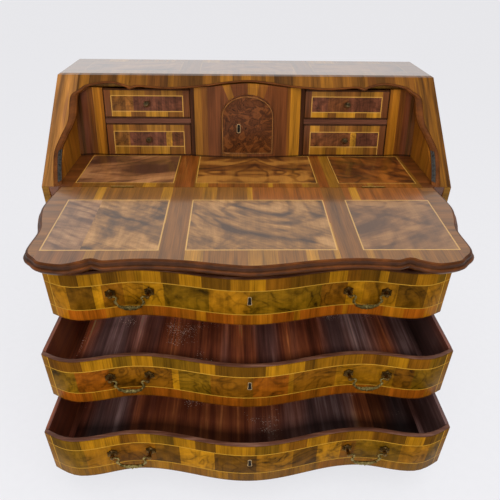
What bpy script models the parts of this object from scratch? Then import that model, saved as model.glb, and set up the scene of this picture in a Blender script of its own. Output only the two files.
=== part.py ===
"""A slant-front writing desk in veneered walnut.

A case carries three long serpentine drawers. Above them a shaped flap, hinged at the writing bed, rests
open on two sliding supports. Behind the flap a leaning interior front holds an arched door and four
small drawers. Metres, +Z up, the front towards -Y, the hinge line of the flap at y = 0 inside the case.
"""
import math

import bmesh
import bpy
from mathutils import Matrix, Vector

# Clearances
FIT_GAP = 0.0003
SLIDE_GAP = 0.0015
DRAWER_HEADROOM = 0.003
DOOR_GAP = 0.0008
HINGE_GAP = 0.0006

# Case
CASE_WIDTH = 1.080
SIDE_THICKNESS = 0.0175
BACK_THICKNESS = 0.012
BOTTOM_THICKNESS = 0.022
TOP_THICKNESS = 0.018
TOP_DEPTH = 0.2245
DESK_HEIGHT = 0.760
SLANT_RUN = 0.2736
SLANT_RISE = 0.221
SLANT_THICKNESS = 0.022
CEILING_THICKNESS = 0.014
BED_UNDERCUT = 0.003

# Feet
FOOT_HEIGHT = 0.082
FOOT_RADIUS = 0.045
FOOT_SOLE_RADIUS = 0.028
FOOT_NECK_RADIUS = 0.031
FOOT_INSET = 0.062

# Boards between the long drawers
RAIL_HEIGHT = 0.030
RAIL_DEPTH = 0.060
DUST_PANEL_THICKNESS = 0.012
SUPPORT_BOARD_THICKNESS = 0.020
FRIEZE_THICKNESS = 0.020
FRIEZE_SETBACK = 0.003

# Long drawers
DRAWER_HEIGHT = 0.147
DRAWER_DEPTH = 0.450
DRAWER_FRONT_THICKNESS = 0.012
DRAWER_WALL = 0.009
DRAWER_FLOOR = 0.008
UPPER_DRAWER_OUT = 0.160
MIDDLE_DRAWER_OUT = 0.274
LOWER_DRAWER_OUT = 0.367

# Serpentine of the drawer fronts, as forward reach from the end corners
CENTRE_BOW = 0.050
HOLLOW_BOW = 0.008
END_BOW = 0.029
END_TURN = 0.081
HOLLOW_TO_CREST = 0.150
FRONT_STEPS = 56

# Bail handles
HANDLE_FROM_END = 0.216
HANDLE_SPAN = 0.094
HANDLE_LEVEL = 0.0815
ROSETTE_RADIUS = 0.011
ROSETTE_THICKNESS = 0.003
POST_RADIUS = 0.0042
EYE_RADIUS = 0.0062
EYE_REACH = 0.015
BAIL_RADIUS = 0.0032
BAIL_DROP = 0.036
BAIL_PIN = 0.005

# Flap: key points of one half of its shaped edge, as pairs whose second number is the distance from the
# hinge line. The first is the distance in from the side of the case, and for the front keys it is the
# share of the way from the middle to the cusp.
FLAP_THICKNESS = 0.028
FLAP_DROOP = math.radians(3.0)
FLAP_SEAT = 0.0004
FLAP_SIDE_KEYS = ((0.037, 0.000), (0.029, 0.060), (0.027, 0.108), (0.038, 0.155), (0.052, 0.205),
                  (0.0505, 0.282), (0.074, 0.313), (0.097, 0.330), (0.148, 0.339), (0.189, 0.327))
FLAP_CUSP = (0.2035, 0.3185)
FLAP_FRONT_KEYS = ((0.927, 0.3265), (0.820, 0.3235), (0.654, 0.3205), (0.416, 0.327), (0.178, 0.340))
FLAP_REACH = 0.346
MOULDING_SIDE_WIDTH = 0.014
MOULDING_FRONT_WIDTH = 0.007
MOULDING_DROP = 0.005
OVERLAP_AT_SIDES = 0.0105
OVERLAP_AT_FRONT = 0.0195
OUTLINE_STEPS = 4

# Flap hinges
HINGE_FROM_SIDE = 0.210
HINGE_LENGTH = 0.060
HINGE_BARREL_RADIUS = 0.003
HINGE_LEAF_SETBACK = 0.0012
HINGE_LEAF_THICKNESS = 0.0015
HINGE_LEAF_DROP = 0.020

# Sliding supports of the flap
SUPPORT_WIDTH = 0.025
SUPPORT_LENGTH = 0.440
SUPPORT_OUT = 0.150
SUPPORT_INSET = 0.040
SLOT_HEAD = 0.008

# Interior
FACADE_DEPTH = 0.2205
FACADE_LEAN = 0.20
LINING_THICKNESS = 0.0225
WING_WIDTH = 0.0841
WING_THICKNESS = 0.012
WING_HOLLOW = 0.006
BANK_END_THICKNESS = 0.008
CENTRE_HALF = 0.1665
CENTRE_FACADE_BOW = 0.016
CENTRE_FACADE_THICKNESS = 0.012
CENTRE_STEPS = 16
CENTRE_HEAD_GAP = 0.0012
PARTITION_THICKNESS = 0.008
SHELF_THICKNESS = 0.013
SMALL_DRAWER_DEPTH = 0.205
LOWER_SMALL_HEIGHT = 0.092
UPPER_SMALL_HEIGHT = 0.080
SMALL_DRAWER_FRONT = 0.010
SMALL_DRAWER_WALL = 0.007
SMALL_DRAWER_HEADROOM = 0.001
DOOR_WIDTH = 0.154
DOOR_SILL = 0.009
DOOR_SPRING = 0.115
DOOR_ARCH_RISE = 0.059
ARCH_STEPS = 16
KNOB_RADIUS = 0.0085
KNOB_NECK_RADIUS = 0.0042
KNOB_BASE_RADIUS = 0.0075
KNOB_LENGTH = 0.021

# Sizes that follow from the ones above
CASE_HALF = CASE_WIDTH / 2
INNER_HALF = CASE_HALF - SIDE_THICKNESS
BOARD_HALF = INNER_HALF - FIT_GAP
CASE_DEPTH = SLANT_RUN + TOP_DEPTH
BOARD_BACK = CASE_DEPTH - BACK_THICKNESS - FIT_GAP
TOP_HEIGHT = DESK_HEIGHT + SLANT_RISE
TOP_UNDERSIDE = TOP_HEIGHT - TOP_THICKNESS
SLANT_ANGLE = math.atan2(SLANT_RISE, SLANT_RUN)
DRAWER_HALF = INNER_HALF - SLIDE_GAP
HANDLE_AT = DRAWER_HALF - HANDLE_FROM_END
HINGE_AT = CASE_HALF - HINGE_FROM_SIDE
CREST_AT = DRAWER_HALF - END_TURN
HOLLOW_AT = CREST_AT - HOLLOW_TO_CREST
FLOOR_OF_CASE = FOOT_HEIGHT + BOTTOM_THICKNESS
DRAWER_PITCH = FIT_GAP + DRAWER_HEIGHT + DRAWER_HEADROOM + RAIL_HEIGHT
LOWER_DRAWER_LEVEL = FLOOR_OF_CASE + FIT_GAP
MIDDLE_DRAWER_LEVEL = LOWER_DRAWER_LEVEL + DRAWER_PITCH
UPPER_DRAWER_LEVEL = MIDDLE_DRAWER_LEVEL + DRAWER_PITCH
SUPPORT_BOARD_LEVEL = UPPER_DRAWER_LEVEL + DRAWER_HEIGHT + DRAWER_HEADROOM
SUPPORT_LEVEL = SUPPORT_BOARD_LEVEL + SUPPORT_BOARD_THICKNESS + FIT_GAP
SLANT_SLOPE = SLANT_RISE / SLANT_RUN
FLAP_UNDER_TIP = SUPPORT_OUT * math.tan(FLAP_DROOP) + FLAP_THICKNESS / math.cos(FLAP_DROOP)
SUPPORT_TOP = DESK_HEIGHT - FLAP_UNDER_TIP - FIT_GAP
SUPPORT_AT = INNER_HALF - SUPPORT_INSET - SUPPORT_WIDTH / 2
BED_UNDERSIDE = SUPPORT_TOP + SLOT_HEAD + 2 * FIT_GAP
INTERIOR_FLOOR = DESK_HEIGHT + FIT_GAP
INTERIOR_CEILING = TOP_UNDERSIDE - CEILING_THICKNESS - FIT_GAP
LINING_FACE = BOARD_HALF - LINING_THICKNESS
LEAN_ANGLE = math.atan(FACADE_LEAN)
SHELF_LEVEL = INTERIOR_FLOOR + LOWER_SMALL_HEIGHT + SMALL_DRAWER_HEADROOM
UPPER_TIER_LEVEL = SHELF_LEVEL + SHELF_THICKNESS + FIT_GAP
BANK_START = CENTRE_HALF + FIT_GAP
BANK_END = LINING_FACE - FIT_GAP - WING_WIDTH
SMALL_DRAWER_WIDTH = BANK_END - BANK_START - 2 * SLIDE_GAP
BANK_CENTRE = (BANK_START + BANK_END) / 2
FRONT_OF_ALL = -(LOWER_DRAWER_OUT + CENTRE_BOW)


def material(name, colour, roughness, metallic=0.0):
    """A plain surface in one colour."""
    made = bpy.data.materials.new(name)
    made.use_nodes = True
    shader = made.node_tree.nodes["Principled BSDF"]
    shader.inputs["Base Color"].default_value = (*colour, 1.0)
    shader.inputs["Roughness"].default_value = roughness
    shader.inputs["Metallic"].default_value = metallic
    return made


def empty(name, location, parent=None, rotation=(0.0, 0.0, 0.0)):
    """A named axis that moving pieces hang from."""
    made = bpy.data.objects.new(name, None)
    made.location = location
    made.rotation_euler = rotation
    made.parent = parent
    bpy.context.collection.objects.link(made)
    return made


def mesh_from_rings(name, rings):
    """A closed mesh through equal rings of points, capped at the first and the last ring."""
    shape = bmesh.new()
    loops = [[shape.verts.new(point) for point in ring] for ring in rings]
    count = len(rings[0])
    for near, far in zip(loops, loops[1:]):
        for i in range(count):
            j = (i + 1) % count
            shape.faces.new((near[i], near[j], far[j], far[i]))
    shape.faces.new(reversed(loops[0]))
    shape.faces.new(loops[-1])
    bmesh.ops.recalc_face_normals(shape, faces=shape.faces)
    made = bpy.data.meshes.new(name)
    shape.to_mesh(made)
    shape.free()
    return made


def solid(name, rings, surface, parent, smooth=False):
    """A piece of the desk, made through rings of points."""
    mesh = mesh_from_rings(name, rings)
    mesh.materials.append(surface)
    if smooth:
        mesh.shade_smooth()
        mesh.set_sharp_from_angle(angle=math.radians(35))
    made = bpy.data.objects.new(name, mesh)
    made.parent = parent
    bpy.context.collection.objects.link(made)
    return made


def level_rings(outline, low, high):
    """Two copies of an outline in x and y, at two heights."""
    return [[Vector((x, y, level)) for x, y in outline] for level in (low, high)]


def upright_rings(outline, left, right):
    """Two copies of an outline in y and z, at two places across the desk."""
    return [[Vector((x, y, z)) for y, z in outline] for x in (left, right)]


def block_rings(low, high):
    """The two rings of a plain block between two corners."""
    outline = [(low[0], low[1]), (high[0], low[1]), (high[0], high[1]), (low[0], high[1])]
    return level_rings(outline, low[2], high[2])


def turned_rings(profile, sides):
    """Rings of a turned piece about +Z, from pairs of radius and height."""
    angles = [2 * math.pi * i / sides for i in range(sides)]
    return [[Vector((r * math.cos(a), r * math.sin(a), z)) for a in angles] for r, z in profile]


def combine(piece, rings, operation):
    """Cut a shape out of a piece, join it on, or keep what they share."""
    tool = bpy.data.objects.new(piece.name + "_tool", mesh_from_rings("tool", rings))
    tool.parent = piece.parent
    bpy.context.collection.objects.link(tool)
    step = piece.modifiers.new("step", "BOOLEAN")
    step.operation = operation
    step.solver = "EXACT"
    step.object = tool
    bpy.context.view_layer.update()
    evaluated = piece.evaluated_get(bpy.context.evaluated_depsgraph_get())
    result = bpy.data.meshes.new_from_object(evaluated)
    piece.modifiers.remove(step)
    piece.data = result
    bpy.data.objects.remove(tool)


def ease(start, end, share):
    """A smooth change from one value to another."""
    return start + (end - start) * (1 - math.cos(math.pi * share)) / 2


def front_bow(x):
    """How far the serpentine front reaches forward at x: a centre bow, a hollow and an end bow."""
    across = abs(x)
    if across < HOLLOW_AT:
        return ease(CENTRE_BOW, HOLLOW_BOW, across / HOLLOW_AT)
    if across < CREST_AT:
        return ease(HOLLOW_BOW, END_BOW, (across - HOLLOW_AT) / HOLLOW_TO_CREST)
    turn = min(1.0, (across - CREST_AT) / END_TURN)
    return END_BOW * math.cos(math.pi / 2 * turn)


def bowed_edge(half, setback):
    """Points along the serpentine from left to right, moved back by a distance."""
    xs = [half * (2 * i / FRONT_STEPS - 1) for i in range(FRONT_STEPS + 1)]
    return [(x, setback - front_bow(x)) for x in xs]


def smooth_path(keys, steps):
    """Points on a smooth curve through a few key points."""
    points = [Vector(key) for key in keys]
    points = [2 * points[0] - points[1]] + points + [2 * points[-1] - points[-2]]
    path = []
    for before, start, end, after in zip(points, points[1:], points[2:], points[3:]):
        for i in range(steps):
            t = i / steps
            path.append(0.5 * (2 * start + (end - before) * t
                               + (2 * before - 5 * start + 4 * end - after) * t ** 2
                               + (3 * start - before - 3 * end + after) * t ** 3))
    path.append(points[-2])
    return path


def flap_edge(side_inset, front_inset):
    """The shaped edge of the flap, right to left, as x and distance from the hinge, drawn in."""
    side = [(CASE_HALF - inwards, reach) for inwards, reach in (*FLAP_SIDE_KEYS, FLAP_CUSP)]
    cusp = side[-1]
    half_front = [cusp] + [(share * cusp[0], reach) for share, reach in FLAP_FRONT_KEYS]
    other_half = [(-x, reach) for x, reach in reversed(half_front)]
    right = smooth_path(side, OUTLINE_STEPS)
    middle = smooth_path(half_front + [(0.0, FLAP_REACH)] + other_half, OUTLINE_STEPS)
    left = [Vector((-point.x, point.y)) for point in reversed(right)]
    edge = right + middle[1:-1] + left
    drawn_in = []
    for i, point in enumerate(edge):
        along = edge[min(i + 1, len(edge) - 1)] - edge[max(i - 1, 0)]
        inwards = Vector((-along.y, along.x)).normalized()
        reach = 0.0 if i in (0, len(edge) - 1) else point.y + front_inset * inwards.y
        drawn_in.append((point.x + side_inset * inwards.x, reach))
    return drawn_in


def slant_y(z):
    """Depth of the outer face of the slant at a height."""
    return (z - DESK_HEIGHT) / SLANT_SLOPE


def opening_rings(gap):
    """The shaped opening of the slanted frame, cut level from front to back and drawn in by a gap."""
    edge = flap_edge(OVERLAP_AT_SIDES + gap, OVERLAP_AT_FRONT + gap)
    outline = [(x, DESK_HEIGHT + up * math.sin(SLANT_ANGLE)) for x, up in edge]
    outline += [(edge[-1][0], DESK_HEIGHT - SLANT_RISE), (edge[0][0], DESK_HEIGHT - SLANT_RISE)]
    return [[Vector((x, y, z)) for x, z in outline] for y in (-CASE_DEPTH, CASE_DEPTH)]


def facade_y(z):
    """Depth of the leaning interior front at a height."""
    return FACADE_DEPTH + FACADE_LEAN * (z - DESK_HEIGHT)


def build_case(desk, walnut, plain_wood):
    """Sides, back, bottom, boards between the drawers, writing bed and top."""
    ceiling = TOP_UNDERSIDE - FIT_GAP
    behind_frame = SLANT_THICKNESS + FIT_GAP
    slope = [(slant_y(z) + behind_frame, z) for z in (ceiling, INTERIOR_FLOOR)]
    wall = [(0.0, FOOT_HEIGHT), (CASE_DEPTH, FOOT_HEIGHT), (CASE_DEPTH, ceiling), slope[0],
            (slant_y(DESK_HEIGHT) + behind_frame, DESK_HEIGHT), (0.0, DESK_HEIGHT)]
    lining = [(BOARD_BACK, INTERIOR_FLOOR), (BOARD_BACK, ceiling)] + slope
    for name, sign in (("left_side", -1), ("right_side", 1)):
        side = solid(name, upright_rings(wall, sign * INNER_HALF, sign * CASE_HALF), walnut, desk)
        seam = INNER_HALF + SIDE_THICKNESS / 2
        combine(side, upright_rings(lining, sign * LINING_FACE, sign * seam), "UNION")
    back = block_rings((-BOARD_HALF, BOARD_BACK + FIT_GAP, FOOT_HEIGHT),
                       (BOARD_HALF, CASE_DEPTH, TOP_UNDERSIDE - FIT_GAP))
    solid("back_panel", back, plain_wood, desk)

    board = bowed_edge(BOARD_HALF, 0.0) + [(BOARD_HALF, BOARD_BACK), (-BOARD_HALF, BOARD_BACK)]
    solid("bottom_board", level_rings(board, FOOT_HEIGHT, FLOOR_OF_CASE), walnut, desk)
    for tier, drawer_level in (("lower", MIDDLE_DRAWER_LEVEL), ("upper", UPPER_DRAWER_LEVEL)):
        top = drawer_level - FIT_GAP
        rail = solid(tier + "_rail_board", level_rings(board, top - RAIL_HEIGHT, top), walnut, desk)
        recess = block_rings((RAIL_DEPTH - BOARD_HALF, RAIL_DEPTH, top - 2 * RAIL_HEIGHT),
                             (BOARD_HALF - RAIL_DEPTH, BOARD_BACK - RAIL_DEPTH, top - DUST_PANEL_THICKNESS))
        combine(rail, recess, "DIFFERENCE")
    support_board_top = SUPPORT_BOARD_LEVEL + SUPPORT_BOARD_THICKNESS
    solid("support_board", level_rings(board, SUPPORT_BOARD_LEVEL, support_board_top), walnut, desk)
    frieze = block_rings((-BOARD_HALF, FRIEZE_SETBACK, SUPPORT_LEVEL),
                         (BOARD_HALF, FRIEZE_SETBACK + FRIEZE_THICKNESS, BED_UNDERSIDE - FIT_GAP))
    frieze = solid("frieze_rail", frieze, walnut, desk)
    slot_half = SUPPORT_WIDTH / 2 + SLIDE_GAP
    for sign in (-1, 1):
        slot = block_rings((sign * SUPPORT_AT - slot_half, -FRIEZE_THICKNESS, SUPPORT_BOARD_LEVEL),
                           (sign * SUPPORT_AT + slot_half, 2 * FRIEZE_THICKNESS, SUPPORT_TOP + FIT_GAP))
        combine(frieze, slot, "DIFFERENCE")
    behind_frame = SLANT_RUN + SLANT_THICKNESS + FIT_GAP
    top = block_rings((-CASE_HALF, behind_frame, TOP_UNDERSIDE), (CASE_HALF, CASE_DEPTH, TOP_HEIGHT))
    top = solid("top_board", top, walnut, desk)
    ceiling_half = LINING_FACE - FIT_GAP
    ceiling_front = slant_y(TOP_UNDERSIDE) + SLANT_THICKNESS + FIT_GAP
    ceiling = block_rings((-ceiling_half, ceiling_front, TOP_UNDERSIDE - CEILING_THICKNESS),
                          (ceiling_half, BOARD_BACK, TOP_UNDERSIDE))
    lap = block_rings((-ceiling_half, behind_frame, TOP_UNDERSIDE - CEILING_THICKNESS / 2),
                      (ceiling_half, BOARD_BACK, TOP_UNDERSIDE + TOP_THICKNESS / 2))
    combine(top, ceiling, "UNION")
    combine(top, lap, "UNION")


def hinge_places():
    """Places of the two flap hinges across the desk."""
    return (("left", -HINGE_AT), ("right", HINGE_AT))


def barrel_rings(x, radius, length):
    """A rod along x on the hinge line of the flap."""
    angles = [2 * math.pi * i / 16 for i in range(16)]
    outline = [(radius * math.cos(a), DESK_HEIGHT + radius * math.sin(a)) for a in angles]
    return upright_rings(outline, x - length / 2, x + length / 2)


def build_bed_and_hinges(desk, walnut, brass):
    """The writing bed, with the two flap hinges let into its front edge."""
    profile = [(HINGE_GAP, DESK_HEIGHT), (BOARD_BACK, DESK_HEIGHT), (BOARD_BACK, BED_UNDERSIDE),
               (HINGE_GAP + BED_UNDERCUT, BED_UNDERSIDE)]
    bed = solid("writing_bed", upright_rings(profile, -BOARD_HALF, BOARD_HALF), walnut, desk)
    for side, x in hinge_places():
        leaf_low = (x - HINGE_LENGTH / 2, HINGE_LEAF_SETBACK, DESK_HEIGHT - HINGE_LEAF_DROP)
        leaf_high = (x + HINGE_LENGTH / 2, HINGE_LEAF_SETBACK + HINGE_LEAF_THICKNESS, DESK_HEIGHT)
        hinge = solid("flap_hinge_" + side, block_rings(leaf_low, leaf_high), brass, desk)
        combine(hinge, barrel_rings(x, HINGE_BARREL_RADIUS, HINGE_LENGTH), "UNION")
        combine(bed, barrel_rings(x, HINGE_BARREL_RADIUS + FIT_GAP, HINGE_LENGTH + 2 * FIT_GAP), "DIFFERENCE")
        mortise_low = (leaf_low[0] - FIT_GAP, -HINGE_GAP, leaf_low[2] - FIT_GAP)
        mortise_high = (leaf_high[0] + FIT_GAP, leaf_high[1] + FIT_GAP, DESK_HEIGHT + HINGE_BARREL_RADIUS)
        combine(bed, block_rings(mortise_low, mortise_high), "DIFFERENCE")


def build_slanted_frame(desk, walnut):
    """The slanted frame round the opening that the flap closes."""
    corners = ((INTERIOR_FLOOR, 0.0), (INTERIOR_FLOOR, SLANT_THICKNESS),
               (TOP_HEIGHT, SLANT_THICKNESS), (TOP_HEIGHT, 0.0))
    profile = [(slant_y(z) + depth, z) for z, depth in corners]
    frame = solid("slanted_frame", upright_rings(profile, -CASE_HALF, CASE_HALF), walnut, desk)
    combine(frame, opening_rings(0.0), "DIFFERENCE")


def build_feet(desk, dark_wood):
    """Four turned feet under the corners of the case."""
    height = FOOT_HEIGHT - FIT_GAP
    profile = [(FOOT_SOLE_RADIUS, 0.0), (FOOT_RADIUS * 0.93, 0.20 * height), (FOOT_RADIUS, 0.42 * height),
               (FOOT_RADIUS * 0.90, 0.62 * height), (FOOT_NECK_RADIUS, 0.78 * height),
               (FOOT_NECK_RADIUS, 0.84 * height), (FOOT_NECK_RADIUS * 1.16, 0.90 * height),
               (FOOT_NECK_RADIUS * 1.16, height)]
    for end, y in (("front", FOOT_INSET), ("back", CASE_DEPTH - FOOT_INSET)):
        for side, x in (("left", FOOT_INSET - CASE_HALF), ("right", CASE_HALF - FOOT_INSET)):
            foot = solid(end + "_" + side + "_foot", turned_rings(profile, 20), dark_wood, desk, smooth=True)
            foot.location = (x, y, 0.0)


def build_flap(desk, walnut):
    """The flap, open on its hinge line, with a moulded edge on three sides."""
    axis = empty("flap_axis", (0.0, 0.0, DESK_HEIGHT), desk, (FLAP_DROOP, 0.0, 0.0))
    levels = ((MOULDING_SIDE_WIDTH, MOULDING_FRONT_WIDTH, -FLAP_SEAT),
              (0.0, 0.0, -FLAP_SEAT - MOULDING_DROP), (0.0, 0.0, -FLAP_THICKNESS))
    rings = []
    for side_inset, front_inset, level in levels:
        edge = flap_edge(side_inset, front_inset)
        rings.append([Vector((x, -max(reach, HINGE_GAP), level)) for x, reach in edge])
    flap = solid("flap", rings, walnut, axis)
    for _, x in hinge_places():
        groove = barrel_rings(x, HINGE_BARREL_RADIUS + FIT_GAP, HINGE_LENGTH + 2 * FIT_GAP)
        combine(flap, [[axis_point(point) for point in ring] for ring in groove], "DIFFERENCE")


def axis_point(point):
    """A point near the hinge line, seen from the tilted axis of the flap."""
    local = Matrix.Rotation(-FLAP_DROOP, 4, "X")
    return local @ (point - Vector((0.0, 0.0, DESK_HEIGHT)))


def build_flap_supports(desk, walnut):
    """The two sliding supports that carry the open flap."""
    for side, sign in (("left", -1), ("right", 1)):
        slide = empty(side + "_support_slide", (sign * SUPPORT_AT, -SUPPORT_OUT, SUPPORT_LEVEL), desk)
        block = block_rings((-SUPPORT_WIDTH / 2, 0.0, 0.0),
                            (SUPPORT_WIDTH / 2, SUPPORT_LENGTH, SUPPORT_TOP - SUPPORT_LEVEL))
        solid(side + "_flap_support", block, walnut, slide)


def handle_seat(x):
    """Where a rosette sits on the drawer front at x: its centre, and its outward direction in plan."""
    step = ROSETTE_RADIUS / 4
    slope = (front_bow(x + step) - front_bow(x - step)) / (2 * step)
    outward = Vector((-slope, -1.0)).normalized()
    along = Vector((-outward.y, outward.x))
    clear = []
    for i in range(-4, 5):
        rim = along * step * i
        clear.append(-front_bow(x + rim.x) - (rim.y - front_bow(x)))
    return Vector((x, -front_bow(x) + min(clear) - FIT_GAP)), outward


def rosette_rings(length):
    """A turned plate with a post and a round eye, whose middle lies a length out from the seat."""
    profile = [(ROSETTE_RADIUS, 0.0), (ROSETTE_RADIUS, 0.5 * ROSETTE_THICKNESS),
               (0.7 * ROSETTE_RADIUS, ROSETTE_THICKNESS), (POST_RADIUS, 1.6 * ROSETTE_THICKNESS),
               (POST_RADIUS, length - 0.8 * EYE_RADIUS), (EYE_RADIUS, length - 0.3 * EYE_RADIUS),
               (EYE_RADIUS, length + 0.3 * EYE_RADIUS), (0.55 * EYE_RADIUS, length + 0.85 * EYE_RADIUS)]
    return turned_rings(profile, 12)


def bail_rings():
    """A hanging bail: pins at both ends, swan necks and a drooping grip, about its pivot line."""
    half = HANDLE_SPAN / 2 - EYE_RADIUS - FIT_GAP
    neck = half - BAIL_PIN
    keys = [(-half, 0.0), (-neck, 0.0), (-neck + 0.10 * BAIL_DROP, -0.16 * BAIL_DROP),
            (-neck, -0.50 * BAIL_DROP), (-0.82 * neck, -0.80 * BAIL_DROP),
            (-0.42 * neck, -0.94 * BAIL_DROP), (0.0, -BAIL_DROP)]
    keys += [(-x, z) for x, z in reversed(keys[:-1])]
    path = smooth_path(keys, 3)
    rings = []
    for i, point in enumerate(path):
        along = (path[min(i + 1, len(path) - 1)] - path[max(i - 1, 0)]).normalized()
        across = Vector((-along.y, 0.0, along.x))
        ring = []
        for k in range(8):
            angle = 2 * math.pi * k / 8
            spoke = across * math.cos(angle) + Vector((0.0, 1.0, 0.0)) * math.sin(angle)
            ring.append(Vector((point.x, 0.0, point.y)) + BAIL_RADIUS * spoke)
        rings.append(ring)
    return rings


def build_handle(name, slide, centre, brass):
    """One bail handle on a drawer front: two rosettes and the bail that swings between their eyes."""
    eyes = [centre - HANDLE_SPAN / 2, centre + HANDLE_SPAN / 2]
    pivot_y = -max(front_bow(x) for x in eyes) - EYE_REACH
    for side, eye_x in zip(("left", "right"), eyes):
        seat, outward = handle_seat(eye_x)
        length = (pivot_y - seat.y) / outward.y
        seat, outward = handle_seat(eye_x - outward.x * length)
        length = (pivot_y - seat.y) / outward.y
        rosette = solid(name + "_" + side + "_rosette", rosette_rings(length), brass, slide, smooth=True)
        rosette.location = (seat.x, seat.y, HANDLE_LEVEL)
        rosette.rotation_euler = (math.pi / 2, 0.0, math.atan2(outward.x, -outward.y))
    pivot = empty(name + "_pivot", (centre, pivot_y, HANDLE_LEVEL), slide)
    solid(name + "_bail", bail_rings(), brass, pivot, smooth=True)


def build_long_drawer(name, desk, out, level, walnut, stained_wood, brass):
    """One long drawer, drawn out: a serpentine front, a tray behind it and two bail handles."""
    slide = empty(name + "_drawer_slide", (0.0, -out, level), desk)
    outer = bowed_edge(DRAWER_HALF, 0.0)
    inner = bowed_edge(DRAWER_HALF, DRAWER_FRONT_THICKNESS)
    solid(name + "_drawer_front", level_rings(outer + inner[::-1], 0.0, DRAWER_HEIGHT), walnut, slide)
    seat = bowed_edge(DRAWER_HALF, DRAWER_FRONT_THICKNESS + FIT_GAP)
    box = seat + [(DRAWER_HALF, DRAWER_DEPTH), (-DRAWER_HALF, DRAWER_DEPTH)]
    tray = solid(name + "_drawer_tray", level_rings(box, 0.0, DRAWER_HEIGHT), stained_wood, slide)
    inside_half = DRAWER_HALF - DRAWER_WALL
    inside = block_rings((-inside_half, -2 * CENTRE_BOW, DRAWER_FLOOR),
                         (inside_half, DRAWER_DEPTH - DRAWER_WALL, 2 * DRAWER_HEIGHT))
    combine(tray, inside, "DIFFERENCE")
    for side, sign in (("left", -1), ("right", 1)):
        build_handle(name + "_" + side, slide, sign * HANDLE_AT, brass)


def leaning_rings(outline_at, top=INTERIOR_CEILING):
    """Two rings of an upright interior piece, from the writing bed to its top."""
    rings = []
    for z in (INTERIOR_FLOOR, top):
        rings.append([Vector((x, y, z)) for x, y in outline_at(facade_y(z))])
    return rings


def wing_outline(sign, front):
    """Plan of a wing: a hollow panel from the drawers to the lining, and a bank end that runs back."""
    start = BANK_END
    end = LINING_FACE - FIT_GAP
    face = []
    for i in range(7):
        share = i / 6
        hollow = WING_HOLLOW * math.sin(math.pi * share)
        face.append((start + (end - start) * share, front + hollow))
    outline = face + [(x, y + WING_THICKNESS) for x, y in reversed(face) if x > start + BANK_END_THICKNESS]
    outline += [(start + BANK_END_THICKNESS, front + WING_THICKNESS + WING_HOLLOW / 2),
                (start + BANK_END_THICKNESS, BOARD_BACK), (start, BOARD_BACK)]
    return [(sign * x, y) for x, y in outline]


def centre_outline(front):
    """Plan of the bowed centre panel of the interior."""
    xs = [CENTRE_HALF * (2 * i / CENTRE_STEPS - 1) for i in range(CENTRE_STEPS + 1)]
    face = [(x, front - CENTRE_FACADE_BOW * (1 - (x / CENTRE_HALF) ** 2)) for x in xs]
    return face + [(x, y + CENTRE_FACADE_THICKNESS) for x, y in reversed(face)]


def doorway_rings(shrink):
    """The arched doorway, cut square to the leaning front and drawn in by a shrink."""
    half = DOOR_WIDTH / 2 - shrink
    spring = INTERIOR_FLOOR + DOOR_SPRING
    sill = INTERIOR_FLOOR + DOOR_SILL + shrink
    outline = [(-half, sill), (half, sill)]
    for i in range(ARCH_STEPS + 1):
        angle = math.pi * i / ARCH_STEPS
        outline.append((half * math.cos(angle), spring + (DOOR_ARCH_RISE - shrink) * math.sin(angle)))
    rings = []
    for out in (-4 * CENTRE_FACADE_THICKNESS, 4 * CENTRE_FACADE_BOW):
        forward, rise = out * math.cos(LEAN_ANGLE), out * math.sin(LEAN_ANGLE)
        rings.append([Vector((x, facade_y(z) - forward, z + rise)) for x, z in outline])
    return rings


def build_centre(desk, walnut, burl):
    """The bowed centre panel with its arched doorway, and the door that turns on its right edge."""
    panel = solid("centre_panel", leaning_rings(centre_outline, TOP_HEIGHT), walnut, desk)
    combine(panel, opening_rings(CENTRE_HEAD_GAP), "INTERSECT")
    low, high = DESK_HEIGHT - SLANT_RISE, TOP_HEIGHT + SLANT_RISE
    before_slant = [(slant_y(low) + CENTRE_HEAD_GAP, low), (slant_y(high) + CENTRE_HEAD_GAP, high),
                    (-CASE_DEPTH, high), (-CASE_DEPTH, low)]
    combine(panel, upright_rings(before_slant, -CASE_HALF, CASE_HALF), "DIFFERENCE")
    combine(panel, doorway_rings(0.0), "DIFFERENCE")
    hinge_x = DOOR_WIDTH / 2 - DOOR_GAP
    hinge_z = INTERIOR_FLOOR + DOOR_SILL
    hinge_y = facade_y(hinge_z) - CENTRE_FACADE_BOW * (1 - (hinge_x / CENTRE_HALF) ** 2)
    axis = empty("door_axis", (hinge_x, hinge_y, hinge_z), desk, (-LEAN_ANGLE, 0.0, 0.0))
    door = solid("arched_door", leaning_rings(centre_outline), burl, axis)
    combine(door, doorway_rings(DOOR_GAP), "INTERSECT")
    to_axis = Matrix.Translation((hinge_x, hinge_y, hinge_z)) @ Matrix.Rotation(-LEAN_ANGLE, 4, "X")
    door.data.transform(to_axis.inverted())


def build_interior_boards(desk, walnut):
    """Partitions beside the centre, wings at both ends and the shelves between the small drawers."""
    for side, sign in (("left", -1), ("right", 1)):
        edge = CENTRE_HALF - PARTITION_THICKNESS

        def partition(front):
            start = front + CENTRE_FACADE_THICKNESS + FIT_GAP
            return [(sign * edge, start), (sign * CENTRE_HALF, start),
                    (sign * CENTRE_HALF, BOARD_BACK), (sign * edge, BOARD_BACK)]

        solid(side + "_partition", leaning_rings(partition), walnut, desk)
        solid(side + "_wing", leaning_rings(lambda front: wing_outline(sign, front)), walnut, desk)
        low, high = SHELF_LEVEL, SHELF_LEVEL + SHELF_THICKNESS
        ends = (sign * BANK_START, sign * (BANK_END - FIT_GAP))
        profile = [(facade_y(low), low), (BOARD_BACK, low), (BOARD_BACK, high), (facade_y(high), high)]
        solid(side + "_shelf", upright_rings(profile, *ends), walnut, desk)


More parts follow.
